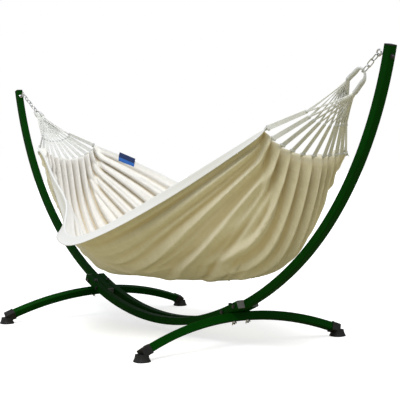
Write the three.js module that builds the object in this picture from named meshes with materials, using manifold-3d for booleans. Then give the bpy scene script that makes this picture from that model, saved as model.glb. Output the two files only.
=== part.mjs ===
// Two-person hammock hung on a bolted steel arc stand. Millimetres, +Z up, +X along the hammock.
// The origin is on the floor under the middle of the stand.
import * as THREE from 'three';
import { mergeVertices } from 'three/addons/utils/BufferGeometryUtils.js';
import Module from 'manifold-3d';

const wasm = await Module();
wasm.setup();
const rad = Math.PI / 180;

// Gaps between pieces
const touchGap = 0.3;
const boltClearance = 0.3;
const bendGap = 0.8;
const slideGap = 0.5;
const plugGap = 0.9;
const shoeGap = 0.8;

// Steel tube, the same stock for rails, arms and feet
const tubeSize = 40;
const tubeWall = 2;
const tubeCorner = 5;

// Side profile of the stand: a shallow centre arc that runs on into a tighter arm arc
const profileLow = 62;
const centreRadius = 1999;
const armRadius = 1639;
const armBendAngle = 35.5;
const tipAngle = 76.1;
const railEndAngle = 22.9;
const armStartAngle = 17.2;
const armBoltAngles = [18.9, 22.0];
const footAngle = 20.45;

// Foot arcs and their shoes
const footRadius = 1450;
const footHalfWidth = 580;
const footStepAngle = 2.62;
const shoeWall = 3.7;
const shoeDepth = 46;
const shoeCap = 5;
const padRadius = 38;
const padTopRadius = 27;
const padStretch = 1.08;

// Fasteners
const boltRadius = 5;
const washerRadius = 11;
const washerThickness = 2;
const headRadius = 9.8;
const headHeight = 6.4;
const headDraft = 0.6;
const nutHeight = 8;
const boltOverrun = 3;
const wingSpan = 46;
const wingHeight = 20;
const wingThickness = 4;
const wingHubRadius = 9;
const wingHubHeight = 9;
const wingHubDraft = 1.4;
const wingHubBevel = 1;

// End plugs
const plugLip = 4;
const plugDepth = 22;

// Eye bolts and chains
const eyeBoltDrop = 42;
const eyeReach = 60;
const eyeRadius = 13;
const eyeWireRadius = 3.5;
const eyeCollarHeight = 5;
const eyeCollarFlare = 2.5;
const eyeSwingGap = 1.6;
const linkInnerWidth = 16;
const linkWireRadius = 2.5;
const linkStraight = 22;
const chainLinks = { right: 3, left: 6 };
const hangAngle = { right: 36, left: 31 };

// Rope ends of the hammock
const loopCordRadius = 5.5;
const loopEndRadius = 16;
const loopStraight = 50;
const whippingRadius = 11;
const whippingLength = 24;
const fanLength = 415;
const fanCords = 12;
const fanCordRadius = 3.2;
const fanCordGap = 1.5;

// Hammock cloth
const clothThickness = 4;
const clothLow = 280;
const clothMiddleEdges = {
  near: { y: -565, z: 535 },
  far: { y: 530, z: 600 },
};
const clothEndRows = {
  right: {
    near: { y: -213, rise: 64, crown: 16 },
    low: { y: 60, rise: -58 },
    far: { y: 230, rise: -34, crown: 0 },
    bellyRise: 130,
    steepness: 10,
  },
  left: {
    near: { y: -182, rise: 20, crown: 0 },
    low: { y: 0, rise: -55 },
    far: { y: 190, rise: 28, crown: 40 },
    bellyRise: 60,
    steepness: 7,
  },
};
const edgeSoftness = 0.2;
const edgeRunPower = 1.3;
const endOpening = 0.6;
const clothSteps = { along: 28, across: 14 };
const labelSize = { width: 96, height: 44, thickness: 2.4 };
const labelPlace = { along: -0.8, across: 0.975, gap: 3 };

// Worked out from the sizes above
const half = tubeSize / 2;
const railOffset = half + slideGap + half;
const railOuterFace = railOffset + half;
const boltHoleRadius = boltRadius + boltClearance;

const colours = {
  frame: [0x063c0c, 0.42, 0.3],
  plastic: [0x1a1b1c, 0.6, 0],
  greyPlastic: [0x55585a, 0.6, 0],
  zinc: [0xb9bcc0, 0.3, 0.9],
  blackSteel: [0x17181a, 0.45, 0.6],
  rope: [0xf2eee0, 0.9, 0],
  cloth: [0xefe6cd, 0.95, 0],
  label: [0x1f4f8f, 0.8, 0],
};

const group = new THREE.Group();

function addMesh(name, geometry, finish, parent = group) {
  const [color, roughness, metalness] = colours[finish];
  const mesh = new THREE.Mesh(geometry, new THREE.MeshStandardMaterial({ color, roughness, metalness }));
  mesh.name = name;
  parent.add(mesh);
  return mesh;
}

// A closed geometry as a solid, and back
function solid(geometry) {
  const bare = geometry.clone();
  bare.deleteAttribute('normal');
  bare.deleteAttribute('uv');
  const merged = mergeVertices(bare, 1e-4);
  const vertProperties = new Float32Array(merged.attributes.position.array);
  const triVerts = new Uint32Array(merged.index.array);
  return new wasm.Manifold(new wasm.Mesh({ numProp: 3, vertProperties, triVerts }));
}

function shell(body) {
  const mesh = body.getMesh();
  const geometry = new THREE.BufferGeometry();
  geometry.setAttribute('position', new THREE.BufferAttribute(new Float32Array(mesh.vertProperties), 3));
  geometry.setIndex([...mesh.triVerts]);
  return geometry;
}

function joined(geometries) {
  return geometries.map(solid).reduce((sum, next) => sum.add(next));
}

function drilled(body, cutters) {
  return cutters.map(solid).reduce((rest, cutter) => rest.subtract(cutter), body);
}

// Matrix that puts a piece at a point with its own +Z along a direction and +Y as near as it can to a hint
function placement(origin, direction, hint = new THREE.Vector3(0, 1, 0)) {
  const z = direction.clone().normalize();
  const x = hint.clone().cross(z).normalize();
  const y = z.clone().cross(x);
  return new THREE.Matrix4().makeBasis(x, y, z).setPosition(origin);
}

function put(mesh, origin, direction, hint) {
  mesh.position.copy(origin);
  mesh.quaternion.setFromRotationMatrix(placement(origin, direction, hint).setPosition(0, 0, 0));
  return mesh;
}

// A rod whose own axis is Z, from low to high
function rod(radius, low, high, sides = 12, topRadius = radius) {
  const geometry = new THREE.CylinderGeometry(topRadius, radius, high - low, sides);
  return geometry.rotateX(90 * rad).translate(0, 0, (low + high) / 2);
}

function rodBetween(from, to, radius, sides) {
  const geometry = rod(radius, 0, from.distanceTo(to), sides);
  return geometry.applyMatrix4(placement(from, to.clone().sub(from)));
}

function roundedSquare(size, corner) {
  const inset = size / 2 - corner;
  const shape = new THREE.Shape();
  shape.absarc(inset, inset, corner, 0, 90 * rad);
  shape.absarc(-inset, inset, corner, 90 * rad, 180 * rad);
  shape.absarc(-inset, -inset, corner, 180 * rad, 270 * rad);
  shape.absarc(inset, -inset, corner, 270 * rad, 360 * rad);
  return shape;
}

function squareHole(size) {
  const reach = size / 2;
  const corners = [[-reach, -reach], [reach, -reach], [reach, reach], [-reach, reach]];
  return new THREE.Path(corners.map(([x, y]) => new THREE.Vector2(x, y)));
}

function sweep(shape, curve, steps) {
  return new THREE.ExtrudeGeometry(shape, { extrudePath: curve, steps, curveSegments: 1 });
}

function tubeAlong(curve, steps) {
  const section = roundedSquare(tubeSize, tubeCorner);
  section.holes.push(squareHole(tubeSize - 2 * tubeWall));
  return sweep(section, curve, steps);
}

class AngleCurve extends THREE.Curve {
  constructor(pointAt, from, to) {
    super();
    this.pointAt = pointAt;
    this.from = from;
    this.to = to;
  }

  getPoint(t) {
    return this.pointAt(this.from + (this.to - this.from) * t);
  }
}

// Point of the side profile at an angle from its lowest point, moved inward along the normal by lift
function profilePoint(angle, y = 0, lift = 0) {
  const turn = Math.abs(angle) * rad;
  const inArm = Math.abs(angle) > armBendAngle;
  const radius = inArm ? armRadius : centreRadius;
  const shift = inArm ? centreRadius - armRadius : 0;
  const centreX = shift * Math.sin(armBendAngle * rad);
  const centreZ = profileLow + centreRadius - shift * Math.cos(armBendAngle * rad);
  const x = centreX + (radius - lift) * Math.sin(turn);
  return new THREE.Vector3(Math.sign(angle) * x, y, centreZ - (radius - lift) * Math.cos(turn));
}

function inwardNormal(angle) {
  return new THREE.Vector3(-Math.sin(angle * rad), 0, Math.cos(angle * rad));
}

function outwardTangent(angle) {
  const side = Math.sign(angle);
  return new THREE.Vector3(side * Math.cos(angle * rad), 0, side * Math.sin(angle * rad));
}

const ends = [{ name: 'right', side: 1 }, { name: 'left', side: -1 }];
const flanks = [{ name: 'front', side: -1 }, { name: 'back', side: 1 }];

function radialHole(angle, y) {
  const middle = profilePoint(angle, y);
  return rod(boltHoleRadius, -2 * tubeSize, 2 * tubeSize).applyMatrix4(placement(middle, inwardNormal(angle)));
}

function crossHole(angle) {
  const cutter = rod(boltHoleRadius, -2 * railOuterFace, 2 * railOuterFace).rotateX(90 * rad);
  const middle = profilePoint(angle);
  return cutter.translate(middle.x, middle.y, middle.z);
}

// A plastic plug: a lip over the tube's end and a square spigot inside it
function plugShell() {
  const lip = new THREE.ExtrudeGeometry(roundedSquare(tubeSize, tubeCorner), {
    depth: plugLip,
    bevelEnabled: false,
    curveSegments: 2,
  });
  lip.translate(0, 0, touchGap);
  const spigotSize = tubeSize - 2 * tubeWall - 2 * plugGap;
  const spigotHeight = plugDepth + 2 * touchGap;
  const spigot = new THREE.BoxGeometry(spigotSize, spigotSize, spigotHeight);
  spigot.translate(0, 0, 2 * touchGap - spigotHeight / 2);
  return shell(joined([lip, spigot]));
}

function addRails() {
  for (const flank of flanks) {
    const y = flank.side * railOffset;
    const run = new AngleCurve((angle) => profilePoint(angle, y), -railEndAngle, railEndAngle);
    const cutters = [];
    for (const end of ends) {
      cutters.push(...armBoltAngles.map((angle) => crossHole(end.side * angle)));
      cutters.push(radialHole(end.side * footAngle, y));
    }
    addMesh(`centre_rail_${flank.name}`, shell(drilled(solid(tubeAlong(run, 22)), cutters)), 'frame');
    for (const end of ends) {
      const angle = end.side * railEndAngle;
      const plug = addMesh(`rail_plug_${flank.name}_${end.name}`, plugShell(), 'greyPlastic');
      put(plug, profilePoint(angle, y), outwardTangent(angle));
    }
  }
}

const eyeBoltAngle = tipAngle - eyeBoltDrop / armRadius / rad;

function addArms() {
  for (const end of ends) {
    const run = new AngleCurve((angle) => profilePoint(angle), end.side * armStartAngle, end.side * tipAngle);
    const cutters = armBoltAngles.map((angle) => crossHole(end.side * angle));
    cutters.push(radialHole(end.side * eyeBoltAngle, 0));
    addMesh(`arm_${end.name}`, shell(drilled(solid(tubeAlong(run, 26)), cutters)), 'frame');
    const tip = end.side * tipAngle;
    const start = end.side * armStartAngle;
    put(addMesh(`arm_tip_cap_${end.name}`, plugShell(), 'plastic'), profilePoint(tip), outwardTangent(tip));
    const inner = addMesh(`arm_inner_plug_${end.name}`, plugShell(), 'greyPlastic');
    put(inner, profilePoint(start), outwardTangent(start).negate());
  }
}

// A bolt along its own Z, with its washer against z = 0 and its shank running down
function boltShell(length, seat, headSides = 6) {
  const washer = rod(washerRadius, seat, seat + washerThickness, 16);
  const headLow = seat + washerThickness / 2;
  const head = rod(headRadius, headLow, headLow + headHeight, headSides, headRadius - headDraft);
  const shank = rod(boltRadius, -length, headLow);
  return shell(joined([washer, head, shank]));
}

function nutShell() {
  const body = joined([
    rod(washerRadius, 0, washerThickness, 16),
    rod(headRadius, washerThickness / 2, nutHeight, 6),
  ]);
  return shell(drilled(body, [rod(boltHoleRadius, -nutHeight, 2 * nutHeight)]));
}

function addArmBolts() {
  const length = 2 * railOuterFace + nutHeight + boltOverrun;
  for (const end of ends) {
    armBoltAngles.forEach((angle, index) => {
      const label = `${end.name}_${index === 0 ? 'inner' : 'outer'}`;
      const front = new THREE.Vector3(0, -1, 0);
      const back = new THREE.Vector3(0, 1, 0);
      const up = new THREE.Vector3(0, 0, 1);
      const bolt = addMesh(`arm_bolt_${label}`, boltShell(length, touchGap), 'zinc');
      put(bolt, profilePoint(end.side * angle, -railOuterFace), front, up);
      const nut = addMesh(`arm_nut_${label}`, nutShell(), 'zinc');
      put(nut, profilePoint(end.side * angle, railOuterFace + touchGap), back, up);
    });
  }
}

// The foot frame: origin on the profile at the foot, +Z towards the middle of the curve, +Y across
const footDrop = tubeSize + touchGap;

function footMatrix(side) {
  const middle = profilePoint(side * footAngle);
  return new THREE.Matrix4().makeRotationY(-side * footAngle * rad).setPosition(middle);
}

function footPoint(angle) {
  const turn = angle * rad;
  return new THREE.Vector3(0, footRadius * Math.sin(turn), -footDrop - footRadius * (1 - Math.cos(turn)));
}

const footEndAngle = Math.asin(footHalfWidth / footRadius) / rad;
const footSteps = 2 * Math.ceil(footEndAngle / footStepAngle);
const footFall = footRadius - Math.sqrt(footRadius ** 2 - railOffset ** 2);
const footLean = washerRadius * (railOffset / footRadius);

function addFeet() {
  for (const end of ends) {
    const frame = new THREE.Group();
    frame.applyMatrix4(footMatrix(end.side));
    group.add(frame);
    const run = new AngleCurve(footPoint, -footEndAngle, footEndAngle);
    const reach = 2 * tubeSize;
    const cutters = flanks.map((flank) => {
      return rod(boltHoleRadius, -footDrop - reach, -footDrop + reach).translate(0, flank.side * railOffset, 0);
    });
    addMesh(`foot_arc_${end.name}`, shell(drilled(solid(tubeAlong(run, footSteps)), cutters)), 'frame', frame);
    const underside = footDrop + half + footFall + footLean + touchGap;
    for (const flank of flanks) {
      const y = flank.side * railOffset;
      const length = half + underside + wingHubHeight + 2 * boltOverrun;
      const bolt = addMesh(`foot_bolt_${end.name}_${flank.name}`, boltShell(length, bendGap, 8), 'blackSteel', frame);
      bolt.position.set(0, y, half);
      const nut = addMesh(`wing_nut_${end.name}_${flank.name}`, wingNutShell(), 'zinc', frame);
      nut.position.set(0, y, -underside);
    }
  }
}

// A wing nut that hangs down from z = 0, its two wings spread along X
function wingNutShell() {
  const root = wingHubRadius * 0.6;
  const tip = wingSpan / 2;
  const halfOutline = [
    { from: [root, wingHubBevel] },
    { bend: [tip * 0.7, wingHubHeight * 0.4], to: [tip, wingHubHeight] },
    { bend: [tip * 1.05, wingHeight * 0.9], to: [tip * 0.8, wingHeight] },
    { bend: [tip * 0.5, wingHubHeight * 1.3], to: [root, wingHubHeight - wingHubBevel / 2] },
  ];
  const wings = [1, -1].map((side) => {
    const outline = new THREE.Shape();
    const [start, ...bends] = halfOutline;
    outline.moveTo(0, -start.from[1]);
    outline.lineTo(side * start.from[0], -start.from[1]);
    for (const { bend, to } of bends) {
      outline.quadraticCurveTo(side * bend[0], -bend[1], side * to[0], -to[1]);
    }
    outline.lineTo(0, wingHubBevel / 2 - wingHubHeight);
    const wing = new THREE.ExtrudeGeometry(outline, {
      depth: wingThickness,
      bevelEnabled: false,
      curveSegments: 3,
    });
    return wing.translate(0, 0, -wingThickness / 2).rotateX(90 * rad);
  });
  const hub = rod(wingHubRadius - wingHubDraft, -wingHubHeight, 0, 14, wingHubRadius);
  return shell(drilled(joined([hub, ...wings]), [rod(boltHoleRadius, -2 * wingHeight, wingHeight)]));
}

function addShoes() {
  const outer = tubeSize + 2 * (shoeGap + shoeWall);
  const inner = tubeSize + 2 * shoeGap;
  const depthAngle = shoeDepth / footRadius / rad;
  for (const end of ends) {
    const toWorld = footMatrix(end.side);
    for (const flank of flanks) {
      const tubeEnd = footPoint(flank.side * footEndAngle).applyMatrix4(toWorld);
      const back = footPoint(flank.side * (footEndAngle - depthAngle)).applyMatrix4(toWorld);
      const along = tubeEnd.clone().sub(back).normalize();
      const across = new THREE.Vector3(Math.cos(footAngle * rad), 0, end.side * Math.sin(footAngle * rad));
      const collar = new THREE.ExtrudeGeometry(roundedSquare(outer, tubeCorner), {
        depth: shoeDepth + touchGap + shoeCap,
        bevelEnabled: false,
        curveSegments: 2,
      });
      collar.applyMatrix4(placement(back, along, across));
      const pad = rod(padRadius, 0, tubeEnd.z, 20, padTopRadius).scale(padStretch, 1, 1);
      pad.translate(tubeEnd.x, tubeEnd.y, 0);
      const overrun = touchGap / footRadius / rad;
      const cavityRun = new AngleCurve(
        footPoint,
        flank.side * (footEndAngle - 2 * depthAngle),
        flank.side * (footEndAngle + overrun),
      );
      const cavity = sweep(roundedSquare(inner, tubeCorner), cavityRun, 8).applyMatrix4(toWorld);
      const body = drilled(joined([collar, pad]), [cavity]);
      addMesh(`foot_shoe_${end.name}_${flank.name}`, shell(body), 'plastic');
    }
  }
}

// A ring stretched along its own X into a link, with its apexes at 0 and the far end
function linkGeometry(endRadius, wireRadius, straight, steps = 16) {
  const geometry = new THREE.TorusGeometry(endRadius, wireRadius, 8, steps);
  const position = geometry.attributes.position;
  for (let i = 0; i < position.count; i += 1) {
    const x = position.getX(i);
    const side = Math.abs(x) < 1e-3 ? 0 : Math.sign(x);
    position.setX(i, x + side * straight / 2);
  }
  return geometry.translate(endRadius + straight / 2, 0, 0);
}

const linkEndRadius = linkInnerWidth / 2 + linkWireRadius;
const linkSpan = 2 * linkEndRadius + linkStraight;
const linkPitch = linkSpan - 2 * linkWireRadius - touchGap;
const loopSpan = 2 * loopEndRadius + loopStraight;

// Where each rope end hangs: the direction it runs, its pivot in the eye and the points along it
function hanging(end) {
  const angle = end.side * eyeBoltAngle;
  const eye = profilePoint(angle, 0, eyeReach);
  const slope = hangAngle[end.name] * rad;
  const direction = new THREE.Vector3(-end.side * Math.cos(slope), 0, -Math.sin(slope));
  const at = (from, distance) => from.clone().addScaledVector(direction, distance);
  const pivot = at(eye, eyeRadius - eyeWireRadius - linkWireRadius - eyeSwingGap);
  const chainEnd = (chainLinks[end.name] - 1) * linkPitch + linkSpan;
  const loopStart = at(pivot, chainEnd - linkWireRadius - touchGap - loopCordRadius);
  const neck = at(loopStart, loopSpan);
  return { eye, direction, at, pivot, loopStart, neck, clothEnd: at(neck, fanLength) };
}

function addEyeBolt(end) {
  const angle = end.side * eyeBoltAngle;
  const ring = new THREE.TorusGeometry(eyeRadius, eyeWireRadius, 8, 18).rotateX(90 * rad);
  ring.translate(0, 0, eyeReach - half);
  const collar = rod(washerRadius, bendGap, bendGap + eyeCollarHeight, 16, boltRadius + eyeCollarFlare);
  const stem = eyeReach - half - eyeRadius;
  const shank = rod(boltRadius, -tubeSize - nutHeight - boltOverrun, stem);
  const bolt = addMesh(`eye_bolt_${end.name}`, shell(joined([ring, collar, shank])), 'zinc');
  put(bolt, profilePoint(angle, 0, half), inwardNormal(angle));
  const nut = addMesh(`eye_nut_${end.name}`, nutShell(), 'zinc');
  put(nut, profilePoint(angle, 0, -half - touchGap), inwardNormal(angle).negate());
}

function addChain(end) {
  const hang = hanging(end);
  const flat = new THREE.Vector3(0, 1, 0);
  const upright = flat.clone().cross(hang.direction);
  for (let i = 0; i < chainLinks[end.name]; i += 1) {
    const geometry = linkGeometry(linkEndRadius, linkWireRadius, linkStraight).rotateY(-90 * rad);
    const link = addMesh(`chain_link_${end.name}_${i + 1}`, geometry, 'zinc');
    put(link, hang.at(hang.pivot, i * linkPitch), hang.direction, i % 2 === 0 ? flat : upright);
  }
}

const hangs = Object.fromEntries(ends.map((end) => [end.name, hanging(end)]));
const clothMiddle = (hangs.right.clothEnd.x + hangs.left.clothEnd.x) / 2;
const clothReach = (hangs.right.clothEnd.x - hangs.left.clothEnd.x) / 2;

// Middle surface of the cloth. along runs from -1 at the left end to 1 at the right, across from -1 to 1.
function clothPoint(along, across) {
  const end = along < 0 ? 'left' : 'right';
  const row = clothEndRows[end];
  const edge = across < 0 ? clothMiddleEdges.near : clothMiddleEdges.far;
  const rowZ = hangs[end].clothEnd.z;
  const rowEdge = across < 0 ? row.near : row.far;
  const length = Math.abs(along);
  const endLow = rowZ + row.low.rise - clothLow - row.bellyRise;
  const bottomZ = clothLow + row.bellyRise * length ** 2 + endLow * length ** row.steepness;
  const bottomY = row.low.y * length ** 3;
  const soft = Math.sqrt(length ** 2 + edgeSoftness ** 2) - edgeSoftness;
  const share = soft / (Math.sqrt(1 + edgeSoftness ** 2) - edgeSoftness);
  const crown = 4 * rowEdge.crown * share * (1 - share);
  const edgeZ = edge.z + (rowZ + rowEdge.rise - edge.z) * share + crown;
  const edgeY = rowEdge.y + (edge.y - rowEdge.y) * Math.max(0, 1 - share) ** edgeRunPower;
  const spread = Math.abs(across);
  const quarter = spread * 90 * rad;
  const open = 1 - endOpening * length ** 2;
  const y = bottomY + (edgeY - bottomY) * ((1 - open) * Math.sin(quarter) + open * spread);
  const z = bottomZ + (edgeZ - bottomZ) * ((1 - open) * (1 - Math.cos(quarter)) + open * spread ** 2);
  return new THREE.Vector3(clothMiddle + clothReach * along, y, z);
}

function clothNormal(along, across) {
  const step = 1e-3;
  const a = clothPoint(Math.min(1, along + step), across).sub(clothPoint(Math.max(-1, along - step), across));
  const b = clothPoint(along, Math.min(1, across + step)).sub(clothPoint(along, Math.max(-1, across - step)));
  return a.cross(b).normalize();
}

function addCloth() {
  const geometry = new THREE.BoxGeometry(2, 2, 2, clothSteps.along, clothSteps.across, 1);
  const position = geometry.attributes.position;
  for (let i = 0; i < position.count; i += 1) {
    const [along, across, layer] = [position.getX(i), position.getY(i), position.getZ(i)];
    const normal = clothNormal(along, across);
    const place = clothPoint(along, across).addScaledVector(normal, layer * clothThickness / 2);
    position.setXYZ(i, place.x, place.y, place.z);
  }
  addMesh('hammock_cloth', geometry, 'cloth');
  const { along, across } = labelPlace;
  const lift = clothThickness / 2 + labelPlace.gap + labelSize.thickness / 2;
  const normal = clothNormal(along, across);
  const label = new THREE.BoxGeometry(labelSize.width, labelSize.height, labelSize.thickness);
  const mesh = addMesh('edge_label', label, 'label');
  const runs = clothPoint(along + 0.01, across).sub(clothPoint(along, across));
  put(mesh, clothPoint(along, across).addScaledVector(normal, lift), normal, normal.clone().cross(runs));
}

// One rope end: the eye loop, its whipping, and the cords that fan out to the end of the cloth
function addRopeEnd(end) {
  const hang = hangs[end.name];
  const upright = new THREE.Vector3(0, 1, 0).cross(hang.direction);
  const hint = chainLinks[end.name] % 2 === 0 ? new THREE.Vector3(0, 1, 0) : upright;
  const loop = linkGeometry(loopEndRadius, loopCordRadius, loopStraight, 20).rotateY(-90 * rad);
  loop.applyMatrix4(placement(hang.loopStart, hang.direction, hint));
  const wrapStart = hang.at(hang.neck, -whippingLength / 2);
  const pieces = [loop, rodBetween(wrapStart, hang.at(hang.neck, whippingLength), whippingRadius, 12)];
  for (let i = 0; i < fanCords; i += 1) {
    const across = -1 + 2 * (i + 0.5) / fanCords;
    const target = clothPoint(end.side, across);
    const back = hang.neck.clone().sub(target).normalize();
    const tip = target.clone().addScaledVector(back, clothThickness / 2 + fanCordGap);
    pieces.push(rodBetween(hang.neck, tip, fanCordRadius, 6));
  }
  addMesh(`rope_end_${end.name}`, shell(joined(pieces)), 'rope');
}

addRails();
addArms();
addArmBolts();
addFeet();
addShoes();
for (const end of ends) {
  addEyeBolt(end);
  addChain(end);
  addRopeEnd(end);
}
addCloth();

export default group;
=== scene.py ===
import bmesh
import bpy
import numpy as np
from mathutils import Matrix


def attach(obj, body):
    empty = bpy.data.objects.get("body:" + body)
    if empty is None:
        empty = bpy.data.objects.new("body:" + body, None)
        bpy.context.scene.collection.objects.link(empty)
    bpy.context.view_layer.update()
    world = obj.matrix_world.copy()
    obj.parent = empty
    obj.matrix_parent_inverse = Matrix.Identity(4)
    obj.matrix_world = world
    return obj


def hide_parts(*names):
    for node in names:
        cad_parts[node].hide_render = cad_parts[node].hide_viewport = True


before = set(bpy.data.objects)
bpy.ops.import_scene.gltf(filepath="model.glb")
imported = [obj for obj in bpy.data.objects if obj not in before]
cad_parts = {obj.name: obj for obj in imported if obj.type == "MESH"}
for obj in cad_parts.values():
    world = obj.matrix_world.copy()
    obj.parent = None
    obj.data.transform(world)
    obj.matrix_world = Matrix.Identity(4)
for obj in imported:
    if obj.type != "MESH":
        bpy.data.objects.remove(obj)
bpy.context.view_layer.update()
print("frame loaded,", len(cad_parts), "nodes")

mm = 0.001  # sizes below are in metres unless multiplied by mm
ends = (dict(name="right", side=1), dict(name="left", side=-1))
flanks = (dict(name="front", side=-1), dict(name="back", side=1))


# Camera, light and floor

viewpoint = dict(
    place=(5.2884, -3.2180, 0.9658), yaw=56.77, pitch=-2.504, roll=-0.975, lens=103.8, sensor=36.0,
)


def addCamera(view):
    yaw, pitch, roll = np.radians([view["yaw"], view["pitch"], view["roll"]])
    ahead = np.array([-np.sin(yaw) * np.cos(pitch), np.cos(yaw) * np.cos(pitch), np.sin(pitch)])
    level = np.array([np.cos(yaw), np.sin(yaw), 0.0])
    above = np.cross(level, ahead)
    right = level * np.cos(roll) + above * np.sin(roll)
    up = above * np.cos(roll) - level * np.sin(roll)
    turn = np.eye(4)
    turn[:3, 0], turn[:3, 1], turn[:3, 2], turn[:3, 3] = right, up, -ahead, view["place"]
    data = bpy.data.cameras.new("camera")
    data.lens, data.sensor_width = view["lens"], view["sensor"]
    camera = bpy.data.objects.new("camera", data)
    camera.matrix_world = Matrix(turn.tolist())
    bpy.context.scene.collection.objects.link(camera)
    bpy.context.scene.camera = camera


studio = dict(
    sky=(0.93, 0.97, 1.0), skyStrength=0.66,
    sunStrength=2.4, sunSpread=38.0, sunTilt=(20.0, 24.0, 0.0),
    floorSize=60.0, floorSeen=0.62, floorGlow=0.62, floorBounce=(0.46, 0.42, 0.26),
)


def addStudio(studio):
    scene = bpy.context.scene
    scene.view_settings.view_transform = "Standard"
    world = bpy.data.worlds.new("studio")
    scene.world = world
    world.use_nodes = True
    nodes, links = world.node_tree.nodes, world.node_tree.links
    nodes.clear()
    lit = nodes.new("ShaderNodeBackground")
    lit.inputs["Color"].default_value = (*studio["sky"], 1)
    lit.inputs["Strength"].default_value = studio["skyStrength"]
    seen = nodes.new("ShaderNodeBackground")  # what the camera sees stays white
    seen.inputs["Color"].default_value = (1, 1, 1, 1)
    path = nodes.new("ShaderNodeLightPath")
    mix = nodes.new("ShaderNodeMixShader")
    out = nodes.new("ShaderNodeOutputWorld")
    links.new(path.outputs["Is Camera Ray"], mix.inputs[0])
    links.new(lit.outputs[0], mix.inputs[1])
    links.new(seen.outputs[0], mix.inputs[2])
    links.new(mix.outputs[0], out.inputs["Surface"])

    sun = bpy.data.lights.new("soft_sun", "SUN")
    sun.energy, sun.angle = studio["sunStrength"], np.radians(studio["sunSpread"])
    lamp = bpy.data.objects.new("soft_sun", sun)
    lamp.rotation_euler = np.radians(studio["sunTilt"])
    scene.collection.objects.link(lamp)

    half = studio["floorSize"] / 2
    mesh = bpy.data.meshes.new("floor")
    corners = [(-half, -half, 0), (half, -half, 0), (half, half, 0), (-half, half, 0)]
    mesh.from_pydata(corners, [], [(0, 1, 2, 3)])
    floor = bpy.data.objects.new("floor", mesh)
    scene.collection.objects.link(floor)
    floor.data.materials.append(floorMaterial(studio))


def floorMaterial(studio):
    material = bpy.data.materials.new("floor_paper")
    material.use_nodes = True
    nodes, links = material.node_tree.nodes, material.node_tree.links
    nodes.clear()
    seen = nodes.new("ShaderNodeBsdfDiffuse")
    seen.inputs["Color"].default_value = (*[studio["floorSeen"]] * 3, 1)
    glow = nodes.new("ShaderNodeEmission")
    glow.inputs["Strength"].default_value = studio["floorGlow"]
    both = nodes.new("ShaderNodeAddShader")
    bounce = nodes.new("ShaderNodeBsdfDiffuse")
    bounce.inputs["Color"].default_value = (*studio["floorBounce"], 1)
    path = nodes.new("ShaderNodeLightPath")
    mix = nodes.new("ShaderNodeMixShader")
    out = nodes.new("ShaderNodeOutputMaterial")
    links.new(seen.outputs[0], both.inputs[0])
    links.new(glow.outputs[0], both.inputs[1])
    links.new(path.outputs["Is Camera Ray"], mix.inputs[0])
    links.new(bounce.outputs[0], mix.inputs[1])
    links.new(both.outputs[0], mix.inputs[2])
    links.new(mix.outputs[0], out.inputs["Surface"])
    return material


addCamera(viewpoint)
addStudio(studio)
print("camera and studio set")


# Shader node groups shared by several finishes

def newGroup(name, inputs, outputs):
    tree = bpy.data.node_groups.new(name, "ShaderNodeTree")
    for label, kind, value in inputs:
        socket = tree.interface.new_socket(label, in_out="INPUT", socket_type=kind)
        if value is not None:
            socket.default_value = value
    for label in outputs:
        tree.interface.new_socket(label, in_out="OUTPUT", socket_type="NodeSocketFloat")
    return tree, tree.nodes.new("NodeGroupInput"), tree.nodes.new("NodeGroupOutput")


def plug(tree, value, socket):
    if isinstance(value, bpy.types.NodeSocket):
        tree.links.new(value, socket)
    else:
        socket.default_value = value


def calc(tree, kind, a, b=0.0, c=0.0):
    node = tree.nodes.new("ShaderNodeMath")
    node.operation = kind
    for value, socket in zip((a, b, c), node.inputs):
        plug(tree, value, socket)
    return node.outputs[0]


def noise(tree, vector, scale, detail=3.0, rough=0.5):
    node = tree.nodes.new("ShaderNodeTexNoise")
    plug(tree, vector, node.inputs["Vector"])
    plug(tree, scale, node.inputs["Scale"])
    node.inputs["Detail"].default_value = detail
    node.inputs["Roughness"].default_value = rough
    return node.outputs["Fac"]


def stretch(tree, vector, scale):
    node = tree.nodes.new("ShaderNodeMapping")
    plug(tree, vector, node.inputs["Vector"])
    node.inputs["Scale"].default_value = scale
    return node.outputs[0]


def ramp(tree, value, low, high):
    node = tree.nodes.new("ShaderNodeMapRange")
    node.interpolation_type = "SMOOTHSTEP"
    plug(tree, value, node.inputs["Value"])
    plug(tree, low, node.inputs["From Min"])
    plug(tree, high, node.inputs["From Max"])
    return node.outputs["Result"]


def mixColour(tree, share, first, second):
    node = tree.nodes.new("ShaderNodeMix")
    node.data_type = "RGBA"
    plug(tree, share, node.inputs[0])
    for value, socket in ((first, node.inputs[6]), (second, node.inputs[7])):
        plug(tree, value if isinstance(value, bpy.types.NodeSocket) else (*value, 1), socket)
    return node.outputs[2]


def useGroup(tree, group, **values):
    node = tree.nodes.new("ShaderNodeGroup")
    node.node_tree = group
    for label, value in values.items():
        plug(tree, value, node.inputs[label])
    return node


def makeGrain():
    # A fine noise for orange peel, moulded skin and cast texture, and one fifty times broader for patches
    tree, given, out = newGroup("surfaceGrain", [
        ("Vector", "NodeSocketVector", None), ("Scale", "NodeSocketFloat", 800.0)], ["Height", "Patch"])
    fine = noise(tree, given.outputs["Vector"], given.outputs["Scale"], 2.0)
    broad = noise(tree, given.outputs["Vector"], calc(tree, "MULTIPLY", given.outputs["Scale"], 0.02), 4.0)
    tree.links.new(fine, out.inputs["Height"])
    tree.links.new(ramp(tree, broad, 0.35, 0.7), out.inputs["Patch"])
    return tree


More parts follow.
